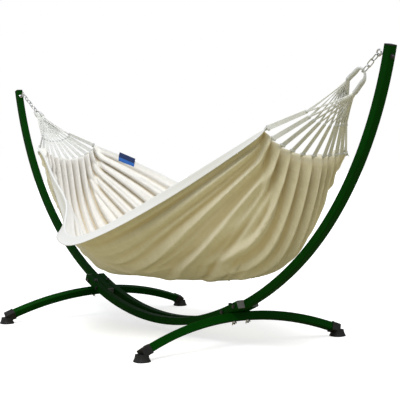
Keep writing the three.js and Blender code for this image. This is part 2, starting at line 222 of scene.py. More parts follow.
def makeDust():
    # More on faces that look up, broken up by a noise, and a ring of grime close to the ground
    tree, given, out = newGroup("outdoorDust", [
        ("Vector", "NodeSocketVector", None), ("Amount", "NodeSocketFloat", 0.3)], ["Dust", "Splash"])
    normal = tree.nodes.new("ShaderNodeSeparateXYZ")
    tree.links.new(tree.nodes.new("ShaderNodeNewGeometry").outputs["Normal"], normal.inputs[0])
    upward = ramp(tree, normal.outputs["Z"], 0.2, 1.0)
    patch = ramp(tree, noise(tree, given.outputs["Vector"], 38.0, 5.0), 0.35, 0.75)
    place = tree.nodes.new("ShaderNodeSeparateXYZ")
    tree.links.new(given.outputs["Vector"], place.inputs[0])
    low = ramp(tree, place.outputs["Z"], 0.09, 0.0)
    amount = given.outputs["Amount"]
    tree.links.new(calc(tree, "MULTIPLY", calc(tree, "MULTIPLY", upward, patch), amount), out.inputs["Dust"])
    tree.links.new(calc(tree, "MULTIPLY", calc(tree, "MULTIPLY", low, patch), amount), out.inputs["Splash"])
    return tree


def makeWeave():
    # Plain weave: sine of one thread direction times sine of the other, with slubs stretched along each
    tree, given, out = newGroup("plainWeave", [
        ("Vector", "NodeSocketVector", None), ("Thread", "NodeSocketFloat", 0.0012)], ["Height", "Slub"])
    part = tree.nodes.new("ShaderNodeSeparateXYZ")
    tree.links.new(given.outputs["Vector"], part.inputs[0])
    waves = []
    for axis in ("X", "Y"):
        threads = calc(tree, "DIVIDE", part.outputs[axis], given.outputs["Thread"])
        turn = calc(tree, "MULTIPLY", threads, np.pi)
        waves.append(calc(tree, "SINE", turn))
    crossing = calc(tree, "MULTIPLY_ADD", calc(tree, "MULTIPLY", *waves), 0.5, 0.5)
    along = noise(tree, stretch(tree, given.outputs["Vector"], (14.0, 420.0, 1.0)), 1.0, 2.0)
    across = noise(tree, stretch(tree, given.outputs["Vector"], (760.0, 40.0, 1.0)), 1.0, 2.0)
    tree.links.new(crossing, out.inputs["Height"])
    tree.links.new(calc(tree, "MULTIPLY_ADD", calc(tree, "ADD", along, across), 0.5, 0.0), out.inputs["Slub"])
    return tree


def makeTwist():
    # Plies that wind round a cord: sine of (plies times the share round it minus length over pitch)
    tree, given, out = newGroup("yarnTwist", [
        ("Vector", "NodeSocketVector", None), ("Plies", "NodeSocketFloat", 3.0),
        ("Pitch", "NodeSocketFloat", 0.012)], ["Height", "Fuzz"])
    part = tree.nodes.new("ShaderNodeSeparateXYZ")
    tree.links.new(given.outputs["Vector"], part.inputs[0])
    turns = calc(tree, "DIVIDE", part.outputs["Y"], given.outputs["Pitch"])
    around = calc(tree, "SUBTRACT", part.outputs["X"], turns)
    plies = calc(tree, "MULTIPLY", around, given.outputs["Plies"])
    wave = calc(tree, "SINE", calc(tree, "MULTIPLY", plies, np.pi))
    fuzz = noise(tree, stretch(tree, given.outputs["Vector"], (6.0, 900.0, 1.0)), 1.0, 3.0)
    tree.links.new(calc(tree, "ABSOLUTE", wave), out.inputs["Height"])
    tree.links.new(fuzz, out.inputs["Fuzz"])
    return tree


grainGroup, dustGroup, weaveGroup, twistGroup = makeGrain(), makeDust(), makeWeave(), makeTwist()


# One function for each kind of finish

def startMaterial(name, **values):
    material = bpy.data.materials.new(name)
    material.use_nodes = True
    tree = material.node_tree
    shader = tree.nodes["Principled BSDF"]
    for label, value in values.items():
        shader.inputs[label.replace("_", " ")].default_value = value
    coords = tree.nodes.new("ShaderNodeTexCoord")
    return material, tree, shader, coords


def addBump(tree, shader, height, strength, distance, before=None):
    bump = tree.nodes.new("ShaderNodeBump")
    bump.inputs["Strength"].default_value = strength
    bump.inputs["Distance"].default_value = distance
    tree.links.new(height, bump.inputs["Height"])
    if before is not None:
        tree.links.new(before.outputs[0], bump.inputs["Normal"])
    tree.links.new(bump.outputs[0], shader.inputs["Normal"])
    return bump


def coatedMaterial(name, look):
    # Paint or plastic: patchy base colour, dust on top faces, splash near the ground, grain in the normal
    material, tree, shader, coords = startMaterial(
        name, Metallic=look.get("metal", 0.0), Specular_IOR_Level=look["gloss"])
    place = coords.outputs["Object"]
    grain = useGroup(tree, grainGroup, Vector=place, Scale=look["grain"])
    dust = useGroup(tree, dustGroup, Vector=place, Amount=look["dust"])
    colour = mixColour(tree, grain.outputs["Patch"], look["colour"], look["colour2"])
    colour = mixColour(tree, dust.outputs["Dust"], colour, look["dustColour"])
    colour = mixColour(tree, dust.outputs["Splash"], colour, look["dustColour"])
    tree.links.new(colour, shader.inputs["Base Color"])
    rough = calc(tree, "MULTIPLY_ADD", grain.outputs["Patch"], look["roughSpread"], look["rough"])
    tree.links.new(calc(tree, "ADD", rough, dust.outputs["Dust"]), shader.inputs["Roughness"])
    addBump(tree, shader, grain.outputs["Height"], look["bump"], 0.0003)
    return material


def metalMaterial(name, look):
    # Bright zinc: cloudy plating, fine scratches stretched along one way, tarnish in patches
    material, tree, shader, coords = startMaterial(name, Metallic=1.0)
    place = coords.outputs["Object"]
    grain = useGroup(tree, grainGroup, Vector=place, Scale=look["grain"])
    scratch = noise(tree, stretch(tree, place, (60.0, 900.0, 1400.0)), 1.0, 2.0)
    colour = mixColour(tree, grain.outputs["Patch"], look["colour"], look["colour2"])
    tree.links.new(colour, shader.inputs["Base Color"])
    rough = calc(tree, "MULTIPLY_ADD", scratch, look["roughSpread"], look["rough"])
    tree.links.new(rough, shader.inputs["Roughness"])
    addBump(tree, shader, scratch, 0.12, 0.0002)
    return material


def ropeMaterial(name, look):
    # Twisted cotton: plies from the piece's own run coordinates, with painted shade in the grooves between
    # them
    material, tree, shader, coords = startMaterial(
        name, Roughness=0.92, Specular_IOR_Level=0.2, Sheen_Weight=0.2)
    run = coords.outputs["UV"]
    twist = useGroup(tree, twistGroup, Vector=run, Plies=look["plies"], Pitch=look["pitch"])
    tone = mixColour(tree, ramp(tree, twist.outputs["Height"], 0.0, 0.75), look["shade"], look["colour"])
    tone = mixColour(tree, ramp(tree, twist.outputs["Fuzz"], 0.4, 0.75), tone, look["colour2"])
    tree.links.new(tone, shader.inputs["Base Color"])
    first = addBump(tree, shader, twist.outputs["Height"], 0.6, look["depth"])
    addBump(tree, shader, twist.outputs["Fuzz"], 0.35, 0.0004, first)
    return material


stitchLength = 6.5 * mm


def clothMaterial(name, look):
    # Woven cotton: threads and slubs from the cloth's flat coordinates, plain hem bands with rows of
    # stitches, and painted shade in the hollows of the folds
    material, tree, shader, coords = startMaterial(name, Specular_IOR_Level=0.15, Sheen_Weight=0.25)
    flat = coords.outputs["UV"]
    weave = useGroup(tree, weaveGroup, Vector=flat, Thread=look["thread"])
    hem = tree.nodes.new("ShaderNodeAttribute")
    hem.attribute_name = "hem"
    seam = tree.nodes.new("ShaderNodeAttribute")
    seam.attribute_name = "seam"
    part = tree.nodes.new("ShaderNodeSeparateXYZ")
    tree.links.new(flat, part.inputs[0])
    soft = noise(tree, stretch(tree, flat, (2.0, 26.0, 1.0)), 1.0, 4.0)
    body = mixColour(tree, ramp(tree, soft, 0.3, 0.75), look["colour"], look["colour2"])
    body = mixColour(tree, ramp(tree, weave.outputs["Slub"], 0.45, 0.62), body, look["slub"])
    # painted shade in the hollows of the folds: the fold wave, signed by facing, mixes the body towards the
    # deep colour
    foldShadeMask = tree.nodes.new("ShaderNodeAttribute")
    foldShadeMask.attribute_name = "foldShadeMask"
    creaseShadeShare = ramp(tree, calc(tree, "MULTIPLY", foldShadeMask.outputs["Fac"], look["facing"]), 0.1, -1.1)
    body = mixColour(tree, creaseShadeShare, body, look["deep"])
    tone = mixColour(tree, hem.outputs["Fac"], body, look["hemColour"])
    stitches = calc(tree, "DIVIDE", part.outputs["X"], stitchLength)
    dash = calc(tree, "GREATER_THAN", calc(tree, "FRACT", stitches), 0.32)
    line = ramp(tree, calc(tree, "ABSOLUTE", seam.outputs["Fac"]), 0.0016, 0.0008)
    stitch = calc(tree, "MULTIPLY", dash, line)
    tone = mixColour(tree, calc(tree, "MULTIPLY", stitch, 0.8), tone, look["stitch"])
    tree.links.new(tone, shader.inputs["Base Color"])
    tree.links.new(calc(tree, "MULTIPLY_ADD", weave.outputs["Slub"], 0.1, 0.86), shader.inputs["Roughness"])
    threads = addBump(tree, shader, weave.outputs["Height"], 0.5, 0.0005)
    slubs = addBump(tree, shader, weave.outputs["Slub"], 0.5, 0.0012, threads)
    raised = calc(tree, "SUBTRACT", stitch, calc(tree, "MULTIPLY", line, 0.6))
    addBump(tree, shader, raised, 0.8, 0.0012, slubs)
    return material


def labelMaterial(name, look):
    # A plain two-tone woven tab, no lettering: dark upper half and blue lower half
    material, tree, shader, coords = startMaterial(
        name, Roughness=0.8, Specular_IOR_Level=0.2, Sheen_Weight=0.2)
    flat = coords.outputs["UV"]
    weave = useGroup(tree, weaveGroup, Vector=flat, Thread=0.0007)
    part = tree.nodes.new("ShaderNodeSeparateXYZ")
    tree.links.new(flat, part.inputs[0])
    upper = ramp(tree, part.outputs["Y"], look["split"] - 0.0006, look["split"] + 0.0006)
    tone = mixColour(tree, upper, look["low"], look["top"])
    tone = mixColour(tree, calc(tree, "MULTIPLY", weave.outputs["Height"], 0.35), tone, look["thread"])
    tree.links.new(tone, shader.inputs["Base Color"])
    addBump(tree, shader, weave.outputs["Height"], 0.6, 0.0004)
    return material


finishes = dict(
    paint=dict(slot="frame_paint", material=coatedMaterial("dark_green_powder_coat", dict(
        colour=(0.0002, 0.0300, 0.0002), colour2=(0.0003, 0.0360, 0.0004), dustColour=(0.006, 0.055, 0.006),
        rough=0.60, roughSpread=0.08, gloss=0.04, grain=900.0, bump=0.16, dust=0.01))),
    plug=dict(slot="plug_plastic", material=coatedMaterial("grey_moulded_plastic", dict(
        colour=(0.10, 0.105, 0.105), colour2=(0.135, 0.14, 0.14), dustColour=(0.3, 0.29, 0.26),
        rough=0.52, roughSpread=0.12, gloss=0.35, grain=1500.0, bump=0.25, dust=0.12))),
    shoe=dict(slot="shoe_plastic", material=coatedMaterial("black_moulded_rubber", dict(
        colour=(0.0032, 0.0034, 0.0034), colour2=(0.0055, 0.0057, 0.0057), dustColour=(0.030, 0.029, 0.027),
        rough=0.55, roughSpread=0.15, gloss=0.3, grain=1300.0, bump=0.3, dust=0.16))),
    black=dict(slot="black_steel", material=coatedMaterial("black_coated_steel", dict(
        colour=(0.010, 0.010, 0.012), colour2=(0.020, 0.020, 0.022), dustColour=(0.18, 0.17, 0.15),
        rough=0.34, roughSpread=0.12, gloss=0.5, grain=1100.0, bump=0.15, dust=0.08, metal=0.3))),
    zinc=dict(slot="zinc", material=metalMaterial("bright_zinc_plate", dict(
        colour=(0.60, 0.61, 0.64), colour2=(0.48, 0.48, 0.49), rough=0.18, roughSpread=0.22, grain=700.0))),
    rope=dict(slot="rope", material=ropeMaterial("twisted_cotton_cord", dict(
        colour=(0.76, 0.77, 0.74), colour2=(0.84, 0.84, 0.82), shade=(0.46, 0.455, 0.42),
        plies=4.0, pitch=0.022, depth=0.0012))),
    wrap=dict(slot="rope", material=ropeMaterial("cotton_wrapping", dict(
        colour=(0.66, 0.675, 0.67), colour2=(0.76, 0.77, 0.76), shade=(0.33, 0.335, 0.32),
        plies=1.0, pitch=0.0016, depth=0.0010))),
    # painted light and shade: the cloth is one ecru cotton in two copies, the outside a darker, warmer
    # painted-shade copy and the inside a paler painted-light copy, hems included
    outside=dict(slot="cloth", material=clothMaterial("ecru_cotton_outside_painted_shade", dict(
        colour=(0.71, 0.655, 0.475), colour2=(0.755, 0.705, 0.53), slub=(0.665, 0.605, 0.42),
        # deep, here and on the inside copy: painted shade colour for the hollows of the folds
        hemColour=(0.58, 0.58, 0.56), deep=(0.56, 0.45, 0.235), facing=1.0,
        stitch=(0.86, 0.85, 0.80), thread=0.0011))),
    inside=dict(slot="cloth", material=clothMaterial("ecru_cotton_inside_painted_light", dict(
        colour=(0.77, 0.75, 0.71), colour2=(0.81, 0.795, 0.76), slub=(0.74, 0.715, 0.66),
        hemColour=(0.72, 0.72, 0.71), deep=(0.60, 0.52, 0.38), facing=-1.0,
        stitch=(0.88, 0.87, 0.83), thread=0.0011))),
    label=dict(slot="label", material=labelMaterial("plain_woven_tab", dict(
        top=(0.006, 0.010, 0.045), low=(0.018, 0.135, 0.52), thread=(0.02, 0.09, 0.33), split=0.024))),
)
print("finishes made,", len(finishes))


# Surfaces are grids of points with quads between them

def unit(vectors):
    return vectors / np.maximum(np.linalg.norm(vectors, axis=-1, keepdims=True), 1e-12)


def gridQuads(rows, columns, wrapRows=False, wrapColumns=True):
    # Quads between neighbouring rows and columns, as indices into a rows x columns grid of points
    r = np.arange(rows if wrapRows else rows - 1)[:, None]
    c = np.arange(columns if wrapColumns else columns - 1)[None]
    nextRow, nextColumn = (r + 1) % rows, (c + 1) % columns
    here, above = r * columns, nextRow * columns
    corners = (here + c, here + nextColumn, above + nextColumn, above + c)
    return np.stack(np.broadcast_arrays(*corners), -1).reshape(-1, 4)


def gridPart(points, lengths, wrapRows=False, wrapColumns=True, capped=False, widths=None):
    # A rows x columns grid of points with run coordinates: share round it, or width across, and length along
    rows, columns = points.shape[:2]
    quads = gridQuads(rows, columns, wrapRows, wrapColumns)
    r = np.arange(rows if wrapRows else rows - 1)[:, None]
    c = np.arange(columns if wrapColumns else columns - 1)[None]
    across = np.arange(columns + 1) / columns if widths is None else widths
    along = np.append(lengths, lengths[-1] + lengths[1] - lengths[0])
    low, high, start, stop = np.broadcast_arrays(across[c], across[c + 1], along[r], along[r + 1])
    uv = np.stack([low, start, high, start, high, stop, low, stop], -1).reshape(-1, 4, 2)
    caps = []
    if capped:
        caps = [np.arange(columns)[::-1], np.arange(columns) + (rows - 1) * columns]
    return dict(points=points.reshape(-1, 3), quads=quads, uv=uv, caps=caps)


def carried(path, side, up, section, closed=False):
    # A section carried along a path: point = path + side * x + up * y for each (x, y) of the section
    section = np.broadcast_to(section, (len(path), *section.shape[-2:]))
    side, up = np.broadcast_to(side, path.shape), np.broadcast_to(up, path.shape)
    points = path[:, None] + side[:, None] * section[..., :1] + up[:, None] * section[..., 1:]
    lengths = np.append(0, np.cumsum(np.linalg.norm(np.diff(path, axis=0), axis=-1)))
    return gridPart(points, lengths, wrapRows=closed, capped=not closed)


def hollow(path, side, up, outer, inner):
    # A tube wall: the outer section carried forwards and the inner one back, closed into one skin
    both = np.concatenate([np.broadcast_to(outer, (len(path), *outer.shape[-2:])),
                           np.broadcast_to(inner, (len(path), *inner.shape[-2:]))])
    side, up = np.broadcast_to(side, path.shape), np.broadcast_to(up, path.shape)
    there = np.concatenate([path, path[::-1]])
    side, up = np.concatenate([side, side[::-1]]), np.concatenate([up, up[::-1]])
    return carried(there, side, up, both, closed=True)


def turned(radii, heights, sides=28, flats=0.0, closed=False):
    # A profile turned about Z: radius times (1 or a hexagon's share) at each height
    angle = np.arange(sides) / sides * 2 * np.pi
    hexagon = np.cos(np.pi / 6) / np.cos(angle % (np.pi / 3) - np.pi / 6)
    share = np.broadcast_to(np.asarray(flats, float), np.shape(radii))[:, None]
    reach = np.asarray(radii, float)[:, None] * (1 - share + share * hexagon)
    height = np.broadcast_to(np.asarray(heights, float)[:, None], reach.shape)
    points = np.stack([reach * np.cos(angle), reach * np.sin(angle), height], -1)
    return gridPart(points, np.asarray(heights, float), wrapRows=closed, capped=not closed)


def placed(part, origin, axis, hint=(0, 1, 0)):
    # The part with its own Z along axis and its own Y as near as it can be to hint
    z = unit(np.asarray(axis, float))
    x = unit(np.cross(hint, z))
    turn = np.stack([x, np.cross(z, x), z])
    return {**part, "points": part["points"] @ turn + np.asarray(origin)}


def roundedSquare(size, corner, steps=6):
    # Four quarter circles joined by flats, anticlockwise, with a point past each corner to keep flats flat
    inset, lead = size / 2 - corner, corner * 0.12
    turn = np.radians(np.linspace(0, 90, steps))
    arc = np.stack([inset + corner * np.cos(turn), inset + corner * np.sin(turn)], -1)
    arc = np.concatenate([[[size / 2, inset - lead]], arc, [[inset - lead, size / 2]]])
    spin = np.radians([0, 90, 180, 270])
    c, s = np.cos(spin)[:, None], np.sin(spin)[:, None]
    return np.stack([arc[:, 0] * c - arc[:, 1] * s, arc[:, 0] * s + arc[:, 1] * c], -1).reshape(-1, 2)


def circle(radius, sides=14):
    angle = np.arange(sides) / sides * 2 * np.pi
    return np.stack([np.cos(angle), np.sin(angle)], -1) * radius


def addPiece(name, parts, body, finish, replaces=(), crease=38.0):
    starts = np.cumsum([0] + [len(part["points"]) for part in parts])
    points = np.concatenate([part["points"] for part in parts])
    quads = np.concatenate([part["quads"] + start for part, start in zip(parts, starts)])
    caps = [cap + start for part, start in zip(parts, starts) for cap in part["caps"]]
    mesh = bpy.data.meshes.new(name)
    mesh.from_pydata(points.tolist(), [], quads.tolist() + [cap.tolist() for cap in caps])
    run = mesh.uv_layers.new(name="run")
    uv = [part["uv"].reshape(-1, 2) for part in parts] + [np.zeros((len(cap), 2)) for cap in caps]
    run.data.foreach_set("uv", np.concatenate(uv).ravel())
    work = bmesh.new()
    work.from_mesh(mesh)
    bmesh.ops.remove_doubles(work, verts=work.verts, dist=1e-7)
    bmesh.ops.dissolve_degenerate(work, edges=work.edges, dist=1e-8)
    bmesh.ops.recalc_face_normals(work, faces=work.faces)
    work.to_mesh(mesh)
    work.free()
    mesh.shade_smooth()
    mesh.set_sharp_from_angle(angle=np.radians(crease))
    piece = bpy.data.objects.new(name, mesh)
    bpy.context.scene.collection.objects.link(piece)
    mesh.materials.append(finishes[finish]["material"])
    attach(piece, body)
    if replaces:
        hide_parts(*replaces)
    return piece


# The stand, of square steel tube

stand = dict(
    low=0.062, centreRadius=1.999, armRadius=1.639, bend=35.5, tip=76.1, armStart=17.2, railEnd=22.9,
    boltAngles=(18.9, 22.0), foot=20.45, tube=0.040, wall=0.002, corner=0.005, railOffset=0.0405,
    touch=0.0003, footRadius=1.450, footHalfWidth=0.580,
)
half = stand["tube"] / 2
tubeOuter = roundedSquare(stand["tube"], stand["corner"])
tubeInner = roundedSquare(stand["tube"] - 2 * stand["wall"], stand["corner"] - stand["wall"])


def sidePoint(angle, y=0.0, lift=0.0):
    # The centre circle up to the bend angle, then the tighter arm circle that touches it there
    turn, bend = np.radians(np.abs(angle)), np.radians(stand["bend"])
    inArm = turn > bend
    shift = np.where(inArm, stand["centreRadius"] - stand["armRadius"], 0.0)
    radius = np.where(inArm, stand["armRadius"], stand["centreRadius"]) - lift
    x = np.sign(angle) * (shift * np.sin(bend) + radius * np.sin(turn))
    z = stand["low"] + stand["centreRadius"] - shift * np.cos(bend) - radius * np.cos(turn)
    return np.stack(np.broadcast_arrays(x, y, z), -1)


def inward(angle):
    turn = np.radians(angle)
    return np.stack([-np.sin(turn), np.zeros_like(turn), np.cos(turn)], -1)


def outward(angle):
    turn, side = np.radians(angle), np.sign(angle)
    return np.stack([side * np.cos(turn), np.zeros_like(turn), side * np.sin(turn)], -1)


def addTube(name, angles, y):
    part = hollow(sidePoint(angles, y), np.array([0.0, 1.0, 0.0]), inward(angles), tubeOuter, tubeInner)
    addPiece(name + "_tube", [part], "stand", "paint", [name])


footDrop = stand["tube"] + stand["touch"]
footEnd = np.degrees(np.arcsin(stand["footHalfWidth"] / stand["footRadius"]))


def footWorld(points, end):
    # Out of the foot's own frame, which leans with the rails at the foot
    turn = np.radians(-end["side"] * stand["foot"])
    x = points[..., 0] * np.cos(turn) + points[..., 2] * np.sin(turn)
    z = points[..., 2] * np.cos(turn) - points[..., 0] * np.sin(turn)
    return np.stack([x, points[..., 1], z], -1)


def footPath(angles):
    turn, radius = np.radians(angles), stand["footRadius"]
    return np.stack([np.zeros_like(turn), radius * np.sin(turn), -footDrop - radius * (1 - np.cos(turn))], -1)


def footRun(angles, end):
    # World points, the sideways direction and the upward normal along a foot arc
    turn = np.radians(angles)
    up = np.stack([np.zeros_like(turn), np.sin(turn), np.cos(turn)], -1)
    origin = sidePoint(float(end["side"] * stand["foot"]))
    side = footWorld(np.array([-1.0, 0.0, 0.0]), end)
    return footWorld(footPath(angles), end) + origin, side, footWorld(up, end)


def addStand():
    for flank in flanks:
        angles = np.linspace(-stand["railEnd"], stand["railEnd"], 97)
        addTube(f"centre_rail_{flank['name']}", angles, flank["side"] * stand["railOffset"])
    for end in ends:
        addTube(f"arm_{end['name']}", end["side"] * np.linspace(stand["armStart"], stand["tip"], 121), 0.0)
        path, side, up = footRun(np.linspace(-footEnd, footEnd, 81), end)
        part = hollow(path, side, up, tubeOuter, tubeInner)
        addPiece(f"foot_arc_{end['name']}_tube", [part], "stand", "paint", [f"foot_arc_{end['name']}"])


plugShape = dict(
    lip=4.3 * mm, spigot=22 * mm, spigotSize=34.2 * mm, edge=1.3 * mm, dish=0.9 * mm, dishRim=4.5 * mm,
)


def plugPart():
    # Rounded squares stacked along Z: ribbed spigot inside the tube, lip, rounded edge and a dished face
    lip, deep, size = plugShape["lip"], plugShape["spigot"], stand["tube"]
    edge, touch = plugShape["edge"], stand["touch"]
    rib = size - 2 * stand["wall"] - 0.0008
    turn = np.radians(np.linspace(0, 90, 6))
    sizes = [plugShape["spigotSize"] - 0.004, plugShape["spigotSize"] - 0.001]
    heights = [-deep, -deep + 0.003]
    for place in (-0.016, -0.011, -0.006):
        sizes += [plugShape["spigotSize"], rib, rib, plugShape["spigotSize"]]
        heights += [place - 0.001, place, place + 0.001, place + 0.002]
    sizes += [plugShape["spigotSize"], size - 0.0006, size]
    heights += [touch, touch, touch + 0.0004]
    sizes += list(size - 2 * edge * (1 - np.cos(turn)))
    heights += list(lip - edge + edge * np.sin(turn))
    rim = plugShape["dishRim"]
    sizes += [size - 2 * rim, size - 2 * rim - 0.002, (size - 2 * rim) * 0.5]
    heights += [lip, lip - plugShape["dish"], lip - plugShape["dish"]]
    rows = [roundedSquare(s, min(stand["corner"], s * 0.2), 5) for s in sizes]
    grid = np.concatenate([np.stack(rows), np.array(heights)[:, None, None].repeat(rows[0].shape[0], 1)], -1)
    return gridPart(grid, np.linspace(0, 0.04, len(heights)), capped=True)


def addPlugs():
    for end in ends:
        for flank in flanks:
            name = f"rail_plug_{flank['name']}_{end['name']}"
            angle = end["side"] * stand["railEnd"]
            place = sidePoint(angle, flank["side"] * stand["railOffset"])
            addPiece(name + "_moulded", [placed(plugPart(), place, outward(angle))], "stand", "plug", [name])
        tip, start = end["side"] * stand["tip"], end["side"] * stand["armStart"]
        name = f"arm_tip_cap_{end['name']}"
        part = placed(plugPart(), sidePoint(tip), outward(tip))
        addPiece(name + "_moulded", [part], "stand", "shoe", [name])
        name = f"arm_inner_plug_{end['name']}"
        part = placed(plugPart(), sidePoint(start), -outward(start))
        addPiece(name + "_moulded", [part], "stand", "plug", [name])


shoe = dict(wall=3.7 * mm, gap=0.8 * mm, depth=46 * mm, cap=5 * mm, stretch=1.08)


def sleevePart(end, flank):
    # A rounded square carried along the foot arc: mouth bead, plain sleeve, two grooves, then a domed end
    reach = np.degrees(shoe["depth"] / stand["footRadius"])
    outer = stand["tube"] + 2 * (shoe["gap"] + shoe["wall"])
    cap = np.degrees((shoe["cap"] + stand["touch"]) / stand["footRadius"])
    share = np.array([0, 0.0, 0.03, 0.12, 0.15, 0.18, 0.3, 0.33, 0.36, 0.39, 0.6, 0.8, 0.93, 0.97, 0.99, 1.0])
    inset = np.array([6.0, 0.6, 0, 0, 0.5, 1.1, 1.1, 1.7, 1.7, 1.1, 1.1, 1.1, 1.1, 1.5, 2.6, 5.5]) * mm
    angles = flank["side"] * (footEnd - reach + share * (reach + cap))
    path, side, up = footRun(angles, end)
    rows = np.stack([roundedSquare(outer - 2 * i, stand["corner"], 6) for i in inset])
    return carried(path, side * -flank["side"], up, rows)


def padPart(end, flank):
    # Superellipses stacked upwards: flat sole with a rounded rim, flaring foot, squarer under the sleeve
    tubeEnd = footRun(np.array([flank["side"] * footEnd]), end)[0]
    top = tubeEnd[0, 2] - 0.002
    heights = np.array([0, 0, 0.0, 0.0008, 0.0024, 0.0050, 0.009, 0.014, 0.020, 0.027, 0.033, top])
    radii = np.array([0, 24, 35.6, 37.4, 38, 37.2, 34.8, 32.2, 30.0, 28.4, 27.4, 27]) * mm
    angle = np.arange(44) / 44 * 2 * np.pi
    power = np.linspace(2.0, 3.6, len(heights))[:, None]
    swell = (np.abs(np.cos(angle)) ** power + np.abs(np.sin(angle)) ** power) ** (-1 / power)
    x = tubeEnd[0, 0] + radii[:, None] * swell * np.cos(angle) * shoe["stretch"]
    y = tubeEnd[0, 1] + radii[:, None] * swell * np.sin(angle)
    return gridPart(np.stack(np.broadcast_arrays(x, y, heights[:, None]), -1), heights, capped=True)


def addShoes():
    for end in ends:
        for flank in flanks:
            name = f"foot_shoe_{end['name']}_{flank['name']}"
            parts = [sleevePart(end, flank), padPart(end, flank)]
            addPiece(name + "_moulded", parts, "stand", "shoe", [name])


addStand()
addPlugs()
addShoes()
print("stand built")


# Bolts, nuts and wing nuts

bolt = dict(
    radius=5 * mm, washer=11 * mm, washerThick=2 * mm, head=9.8 * mm, headHigh=6.4 * mm, nutHigh=8 * mm,
    overrun=3 * mm, bevel=0.5 * mm, play=0.2 * mm,
)
railOuter = stand["railOffset"] + half


def boltPart(length, seat):
    # Profile from the shank's tip up: shank, washer with broken edges, hexagon head with a turned chamfer
    r, w, b, top = bolt["radius"], bolt["washer"], bolt["bevel"], seat + bolt["washerThick"]
    head, high = bolt["head"], seat + bolt["washerThick"] + bolt["headHigh"] - bolt["washerThick"] / 2
    radii = [r * 0.7, r, r, w - b, w, w, w - b, head * 0.96, head, head, head * 0.9, head * 0.62]
    heights = [-length, -length + r * 0.3, seat, seat, seat + b, top - b, top, top, top + b,
               high - 1.2 * mm, high, high]
    flats = [0, 0, 0, 0, 0, 0, 0, 1, 1, 1, 0.35, 0]
    return turned(np.array(radii), heights, 36, np.array(flats))


def nutPart():
    # Closed profile: washer, hexagon body with chamfers, and the bore
    r, w, b = bolt["radius"] + bolt["play"], bolt["washer"], bolt["bevel"]
    t, high, head = bolt["washerThick"], bolt["nutHigh"], bolt["head"]
    radii = [r, w - b, w, w, w - b, head * 0.96, head, head, head * 0.88, r]
    heights = [0, 0, b, t - b, t, t, t + b, high - 1.1 * mm, high, high]
    flats = [0, 0, 0, 0, 0, 1, 1, 1, 0.3, 0]
    return turned(np.array(radii), heights, 36, np.array(flats), closed=True)


def addArmBolts():
    length = 2 * railOuter + bolt["nutHigh"] + bolt["overrun"]
    for end in ends:
        for angle, which in zip(stand["boltAngles"], ("inner", "outer")):
            label = f"{end['name']}_{which}"
            front = sidePoint(end["side"] * angle, -railOuter)
            back = sidePoint(end["side"] * angle, railOuter + stand["touch"])
            part = placed(boltPart(length, stand["touch"]), front, (0, -1, 0), (0, 0, 1))
            addPiece(f"arm_bolt_{label}_turned", [part], "stand", "black", [f"arm_bolt_{label}"], 25.0)
            part = placed(nutPart(), back, (0, 1, 0), (0, 0, 1))
            addPiece(f"arm_nut_{label}_turned", [part], "stand", "black", [f"arm_nut_{label}"], 25.0)


knob = dict(seat=0.8 * mm, low=10.2 * mm, waist=7.4 * mm, crown=9.6 * mm)


def knobPart(length):
    # Dark foot bolt: washer, coned collar and a domed button head, above a plain shank
    r, w = bolt["radius"], bolt["washer"]
    base = knob["seat"] + bolt["washerThick"]
    dome = np.radians(np.linspace(0, 90, 8))
    radii = [r * 0.7, r, r, w - 0.5 * mm, w, w, w - 0.5 * mm, knob["low"], knob["waist"]]
    heights = [-length, -length + 1.5 * mm, knob["seat"], knob["seat"], knob["seat"] + 0.5 * mm,
               base - 0.5 * mm, base, base, base + 3 * mm]
    radii += list(knob["crown"] * np.cos(dome))[:-1] + [0.4 * mm]
    heights += list(base + 4.5 * mm + 4.4 * mm * np.sin(dome))
    return turned(np.array(radii), heights, 32)


wing = dict(hub=9 * mm, hubLow=7.6 * mm, hubHigh=9 * mm, thick=1.9 * mm)


def wingPart(side):
    # A flattened ellipse carried along a quadratic bend out and down from the hub, swelling then rounding off
    t = np.append(np.linspace(0, 1, 18)[:-1], [0.97, 0.99, 1.0])
    start, bend, stop = np.array([[5.0, 0, -5.0], [17.0, 0, -4.5], [19.2, 0, -15.6]]) * mm
    t1 = t[:, None]
    path = (1 - t1) ** 2 * start + 2 * t1 * (1 - t1) * bend + t1 ** 2 * stop
    ahead = unit(2 * (1 - t1) * (bend - start) + 2 * t1 * (stop - bend))
    wide = (3.3 + 1.5 * np.sin(np.pi * t)) * mm * np.sqrt(np.clip(1 - t ** 10, 0.02, 1))
    thick = wing["thick"] * (1.15 - 0.3 * t) * np.sqrt(np.clip(1 - t ** 10, 0.02, 1))
    section = circle(1.0, 16) * np.stack([thick, wide], -1)[:, None]
    up = np.cross(ahead, [0.0, 1.0, 0.0])
    part = carried(path, np.array([0.0, 1.0, 0.0]), up, section)
    return {**part, "points": part["points"] * [side, 1, 1]}


def wingNutParts():
    r = bolt["radius"] + bolt["play"]
    low, hub, bottom = wing["hubLow"], wing["hub"], -wing["hubHigh"]
    radii = np.array([r, low - 0.6 * mm, low, hub - 0.3 * mm, hub, hub - 0.5 * mm, r])
    heights = np.array([bottom, bottom, bottom + 0.7 * mm, -2 * mm, -0.8 * mm, 0, 0])
    return [turned(radii, heights, 36, closed=True), wingPart(1), wingPart(-1)]


